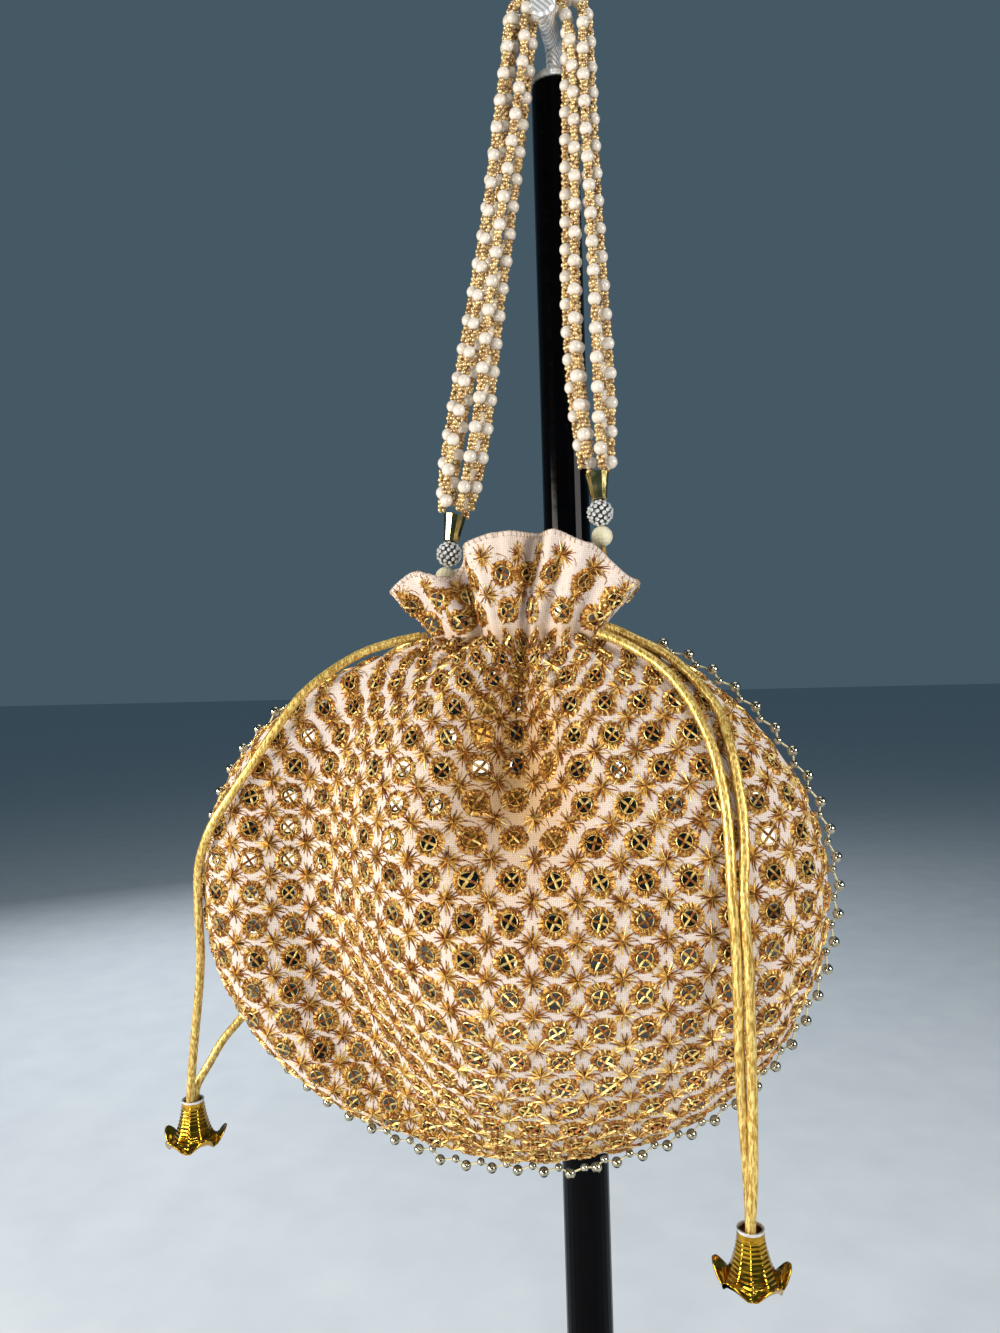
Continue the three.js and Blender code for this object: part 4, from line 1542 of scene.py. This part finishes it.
@dataclass
class Handle:
    """Six strands of pearls and amber seeds with a fitting at each end, sizes in millimetres."""

    palette: Palette
    chance: np.random.Generator
    phases: tuple[float, ...] = (0.0, 0.5, 0.2, 0.7, 0.35, 0.85)
    wander: float = 0.2
    breathe: float = 0.16
    pearl_pitch: float = 11.6
    pearl_r: float = 2.55
    seed_r: float = 1.0
    seed_off: float = 0.95
    seed_rows: int = 4
    seeds_around: int = 3
    ball_r: float = 4.7
    stone_r: float = 0.84
    stones: int = 62
    pearl_ends: float = 2.5
    seed_ends: float = 0.8
    clay_under: float = 0.35
    stone_sunk: float = 0.45

    def __post_init__(self) -> None:
        """Take the route as numbers."""
        self.stops = np.array(HANDLE_ROUTE, float)

    def strand_path(self, number: int) -> Path:
        """Find the line of one strand.

        Args:
            number: Number of the strand, from 1.

        Returns:
            The line.
        """
        middle = self.stops[:, :3]
        place = np.arange(len(middle), dtype=float)
        step = 0.02
        last = len(middle) - 1
        ahead = smooth_rows(middle, np.minimum(place + step, last))
        tangents = unit(ahead - smooth_rows(middle, np.maximum(place - step, 0)))
        side = unit(np.cross((0.0, 1.0, 0.0), tangents))
        back = np.cross(tangents, side)
        loose = np.sin(math.pi * place / last) ** 0.5
        turn = (number - 1) * math.pi / 3 + self.wander * loose * np.sin(1.3 * place + 2.1 * number)
        spread = self.stops[:, 3] * (1 + self.breathe * loose * np.sin(0.9 * place + 1.7 * number))
        return Path(middle + spread[:, None] * turned(turn, side, back))

    def strand(self, number: int) -> bpy.types.Object:
        """String one strand: pearls with clusters of seeds between them.

        Args:
            number: Number of the strand, from 1.

        Returns:
            The strand.
        """
        path = self.strand_path(number)
        builder = MeshBuilder()
        count = int(path.length // self.pearl_pitch)
        pitch = path.length / count
        phase = self.phases[number - 1]
        pearls = (np.arange(count) + phase) * pitch
        pearls = pearls[(pearls > self.pearl_ends) & (pearls < path.length - self.pearl_ends)]
        builder.copies(ball_template(14, 9), path.at(pearls), round_bases(len(pearls), self.pearl_r), 0)
        gap = (pitch - 2 * self.pearl_r) / self.seed_rows
        starts = np.concatenate([[pearls[0] - pitch], pearls])
        seeds = (starts[:, None] + self.pearl_r + gap * (np.arange(self.seed_rows) + 0.5)).ravel()
        seeds = seeds[(seeds > self.seed_ends) & (seeds < path.length - self.seed_ends)]
        _, side, back = path.frames(seeds)
        bead = ball_template(8, 5)
        for k in range(self.seeds_around):
            turn = 2 * math.pi * k / self.seeds_around + np.arange(len(seeds)) * 0.9
            turn = turn + self.chance.normal(0, 0.2, len(seeds))
            centres = path.at(seeds) + self.seed_off * turned(turn, side, back)
            builder.copies(bead, centres, round_bases(len(seeds), self.seed_r), 1)
        obj = builder.make(f"strand_{number}_beads", [self.palette["pearl"], self.palette["seed"]])
        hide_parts(f"handle_strand_{number}")
        return obj

    def pave(self, name: str) -> bpy.types.Object:
        """Set stones over one ball.

        Args:
            name: Left or right.

        Returns:
            The ball with its stones.
        """
        low, high = (Vector(c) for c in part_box(f"pave_ball_{name}"))
        centre = np.array((low + high) / 2) / MM
        builder = MeshBuilder()
        points, faces = ball_template(20, 12)
        builder.add(points * (self.ball_r - self.clay_under) + centre, faces, 0)
        k = np.arange(self.stones) + 0.5
        high_at = np.arccos(1 - 2 * k / self.stones)
        turn = math.pi * (1 + 5**0.5) * k
        ways = np.column_stack([np.sin(high_at)[:, None] * circle(turn), np.cos(high_at)])
        centres = centre + ways * (self.ball_r - self.stone_sunk)
        builder.copies(ball_template(6, 4), centres, round_bases(self.stones, self.stone_r), 1)
        obj = builder.make(f"pave_{name}_set", [self.palette["clay"], self.palette["stone"]])
        for face in obj.data.polygons:
            face.use_smooth = face.material_index == 0
        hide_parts(f"pave_ball_{name}")
        return obj

    def build(self) -> list[bpy.types.Object]:
        """Build the strands and dress the fittings at both ends.

        Returns:
            The strands and the set balls.
        """
        made = [self.strand(k + 1) for k in range(len(self.phases))]
        for name in ("left", "right"):
            made.append(self.pave(name))
            dress(f"handle_cap_{name}", self.palette["cap"])
            dress(f"end_pearl_{name}", self.palette["cream_pearl"])
            dress(f"handle_thread_{name}", self.palette["thread"])
        return made


def dress(node: str, material: bpy.types.Material) -> None:
    """Give a solid of the frame its material.

    Args:
        node: Name of the solid.
        material: Its material.
    """
    obj = bpy.data.objects[node]
    obj.data.materials.clear()
    obj.data.materials.append(material)
    LOG.info("%s dressed in %s", node, material.name)


@dataclass
class Stand:
    """The black display stand with its bright collar and peg."""

    palette: Palette

    def build(self) -> None:
        """Dress the stand's parts."""
        dress("stand_base", self.palette["lacquer"])
        dress("stand_pole", self.palette["lacquer"])
        dress("stand_collar", self.palette["steel"])
        dress("stand_peg", self.palette["screw"])


@dataclass
class Studio:
    """Pale floor, soft lights and the camera, in metres and degrees."""

    floor_half: float = 12.0
    floor_drop: float = 0.0005
    aim: tuple[float, float, float] = (-0.02, -0.05, 0.32)
    air: str = "#7FA0B4"
    air_strength: float = 0.28
    camera_at: tuple[float, float, float] = (0.05804, -0.4166, 0.36)
    camera_yaw: float = 12.0
    camera_roll: float = 1.66
    lens_mm: float = 27.0

    LIGHTS = (
        # name, where in metres, width, height, power, colour
        ("left", (-0.85, -0.62, 0.42), 0.42, 0.42, 13.2, "#FFF8EE"),
        ("front_card", (-0.24, -0.98, 0.2), 0.22, 0.22, 2.5, "#FFFDF8"),
        ("right", (0.92, -0.4, 0.55), 0.42, 0.42, 8.5, "#FFFBF6"),
        ("top", (0.05, 0.2, 1.4), 0.8, 0.8, 3.3, "#FFFFFF"),
        ("strip", (0.26, -0.97, 0.95), 0.03, 0.6, 1.6, "#FFFFFF"),
        ("back", (-0.75, 0.85, 0.8), 0.6, 0.6, 8.0, "#F6FAFF"),
    )

    def build(self) -> None:
        """Set the floor, the lights, the world and the camera."""
        self.floor()
        for name, where, wide, high, power, colour in self.LIGHTS:
            self.light(name, Vector(where), (wide, high), power, colour)
        world = bpy.data.worlds.new("studio_air")
        bpy.context.scene.world = world
        world.use_nodes = True
        bpy.context.scene.view_settings.view_transform = "Standard"
        background = world.node_tree.nodes["Background"]
        background.inputs["Color"].default_value = linear(self.air)
        background.inputs["Strength"].default_value = self.air_strength
        self.camera()

    def floor(self) -> None:
        """Lay a wide pale floor under the stand."""
        mesh = bpy.data.meshes.new("floor")
        ways = ((-1, -1), (1, -1), (1, 1), (-1, 1))
        corners = [(x * self.floor_half, y * self.floor_half, -self.floor_drop) for x, y in ways]
        mesh.from_pydata(corners, [], [(0, 1, 2, 3)])
        floor = bpy.data.objects.new("floor", mesh)
        bpy.context.scene.collection.objects.link(floor)
        mesh.materials.append(FINISHES["floor"].make())

    def light(self, name: str, where: Vector, size: tuple[float, float], power: float, colour: str) -> None:
        """Hang one soft light that faces the bag.

        Args:
            name: Name of the light.
            where: Its place in metres.
            size: Its width and height in metres.
            power: Its power in watts.
            colour: Its colour.
        """
        data = bpy.data.lights.new(name, "AREA")
        data.shape = "RECTANGLE"
        data.size, data.size_y = size
        data.energy = power
        data.color = linear(colour)[:3]
        lamp = bpy.data.objects.new(name, data)
        bpy.context.scene.collection.objects.link(lamp)
        lamp.location = where
        # The light behind draws no line along the gloss pole
        lamp.visible_glossy = name != "back"
        lamp.rotation_euler = (Vector(self.aim) - where).to_track_quat("-Z", "Y").to_euler()

    def camera(self) -> None:
        """Put the camera where the picture was taken from."""
        yaw = math.radians(self.camera_yaw)
        roll = math.radians(self.camera_roll)
        forward = Vector((-math.sin(yaw), math.cos(yaw), 0))
        right = Vector((math.cos(yaw), math.sin(yaw), 0))
        above = Vector((0, 0, 1))
        right_now = right * math.cos(roll) - above * math.sin(roll)
        above_now = above * math.cos(roll) + right * math.sin(roll)
        turn = Matrix((right_now, above_now, -forward)).transposed()
        data = bpy.data.cameras.new("picture_camera")
        data.sensor_fit = "AUTO"
        data.sensor_width = 36.0
        data.lens = self.lens_mm
        data.clip_start = 0.01
        camera = bpy.data.objects.new("picture_camera", data)
        bpy.context.scene.collection.objects.link(camera)
        camera.matrix_world = Matrix.Translation(Vector(self.camera_at)) @ turn.to_4x4()
        bpy.context.scene.camera = camera


def main() -> None:
    """Build the whole picture."""
    logging.basicConfig(level=logging.INFO, format="%(message)s")
    palette = Palette()
    chance = np.random.default_rng(SEED)
    Studio().build()
    Drawstrings(palette).build()
    for side in Side:
        EmbroideredPanel(side, palette, chance).build()
    SeamTrim(palette).build()
    Handle(palette, chance).build()
    Stand(palette).build()


if __name__ == "__main__":
    main()
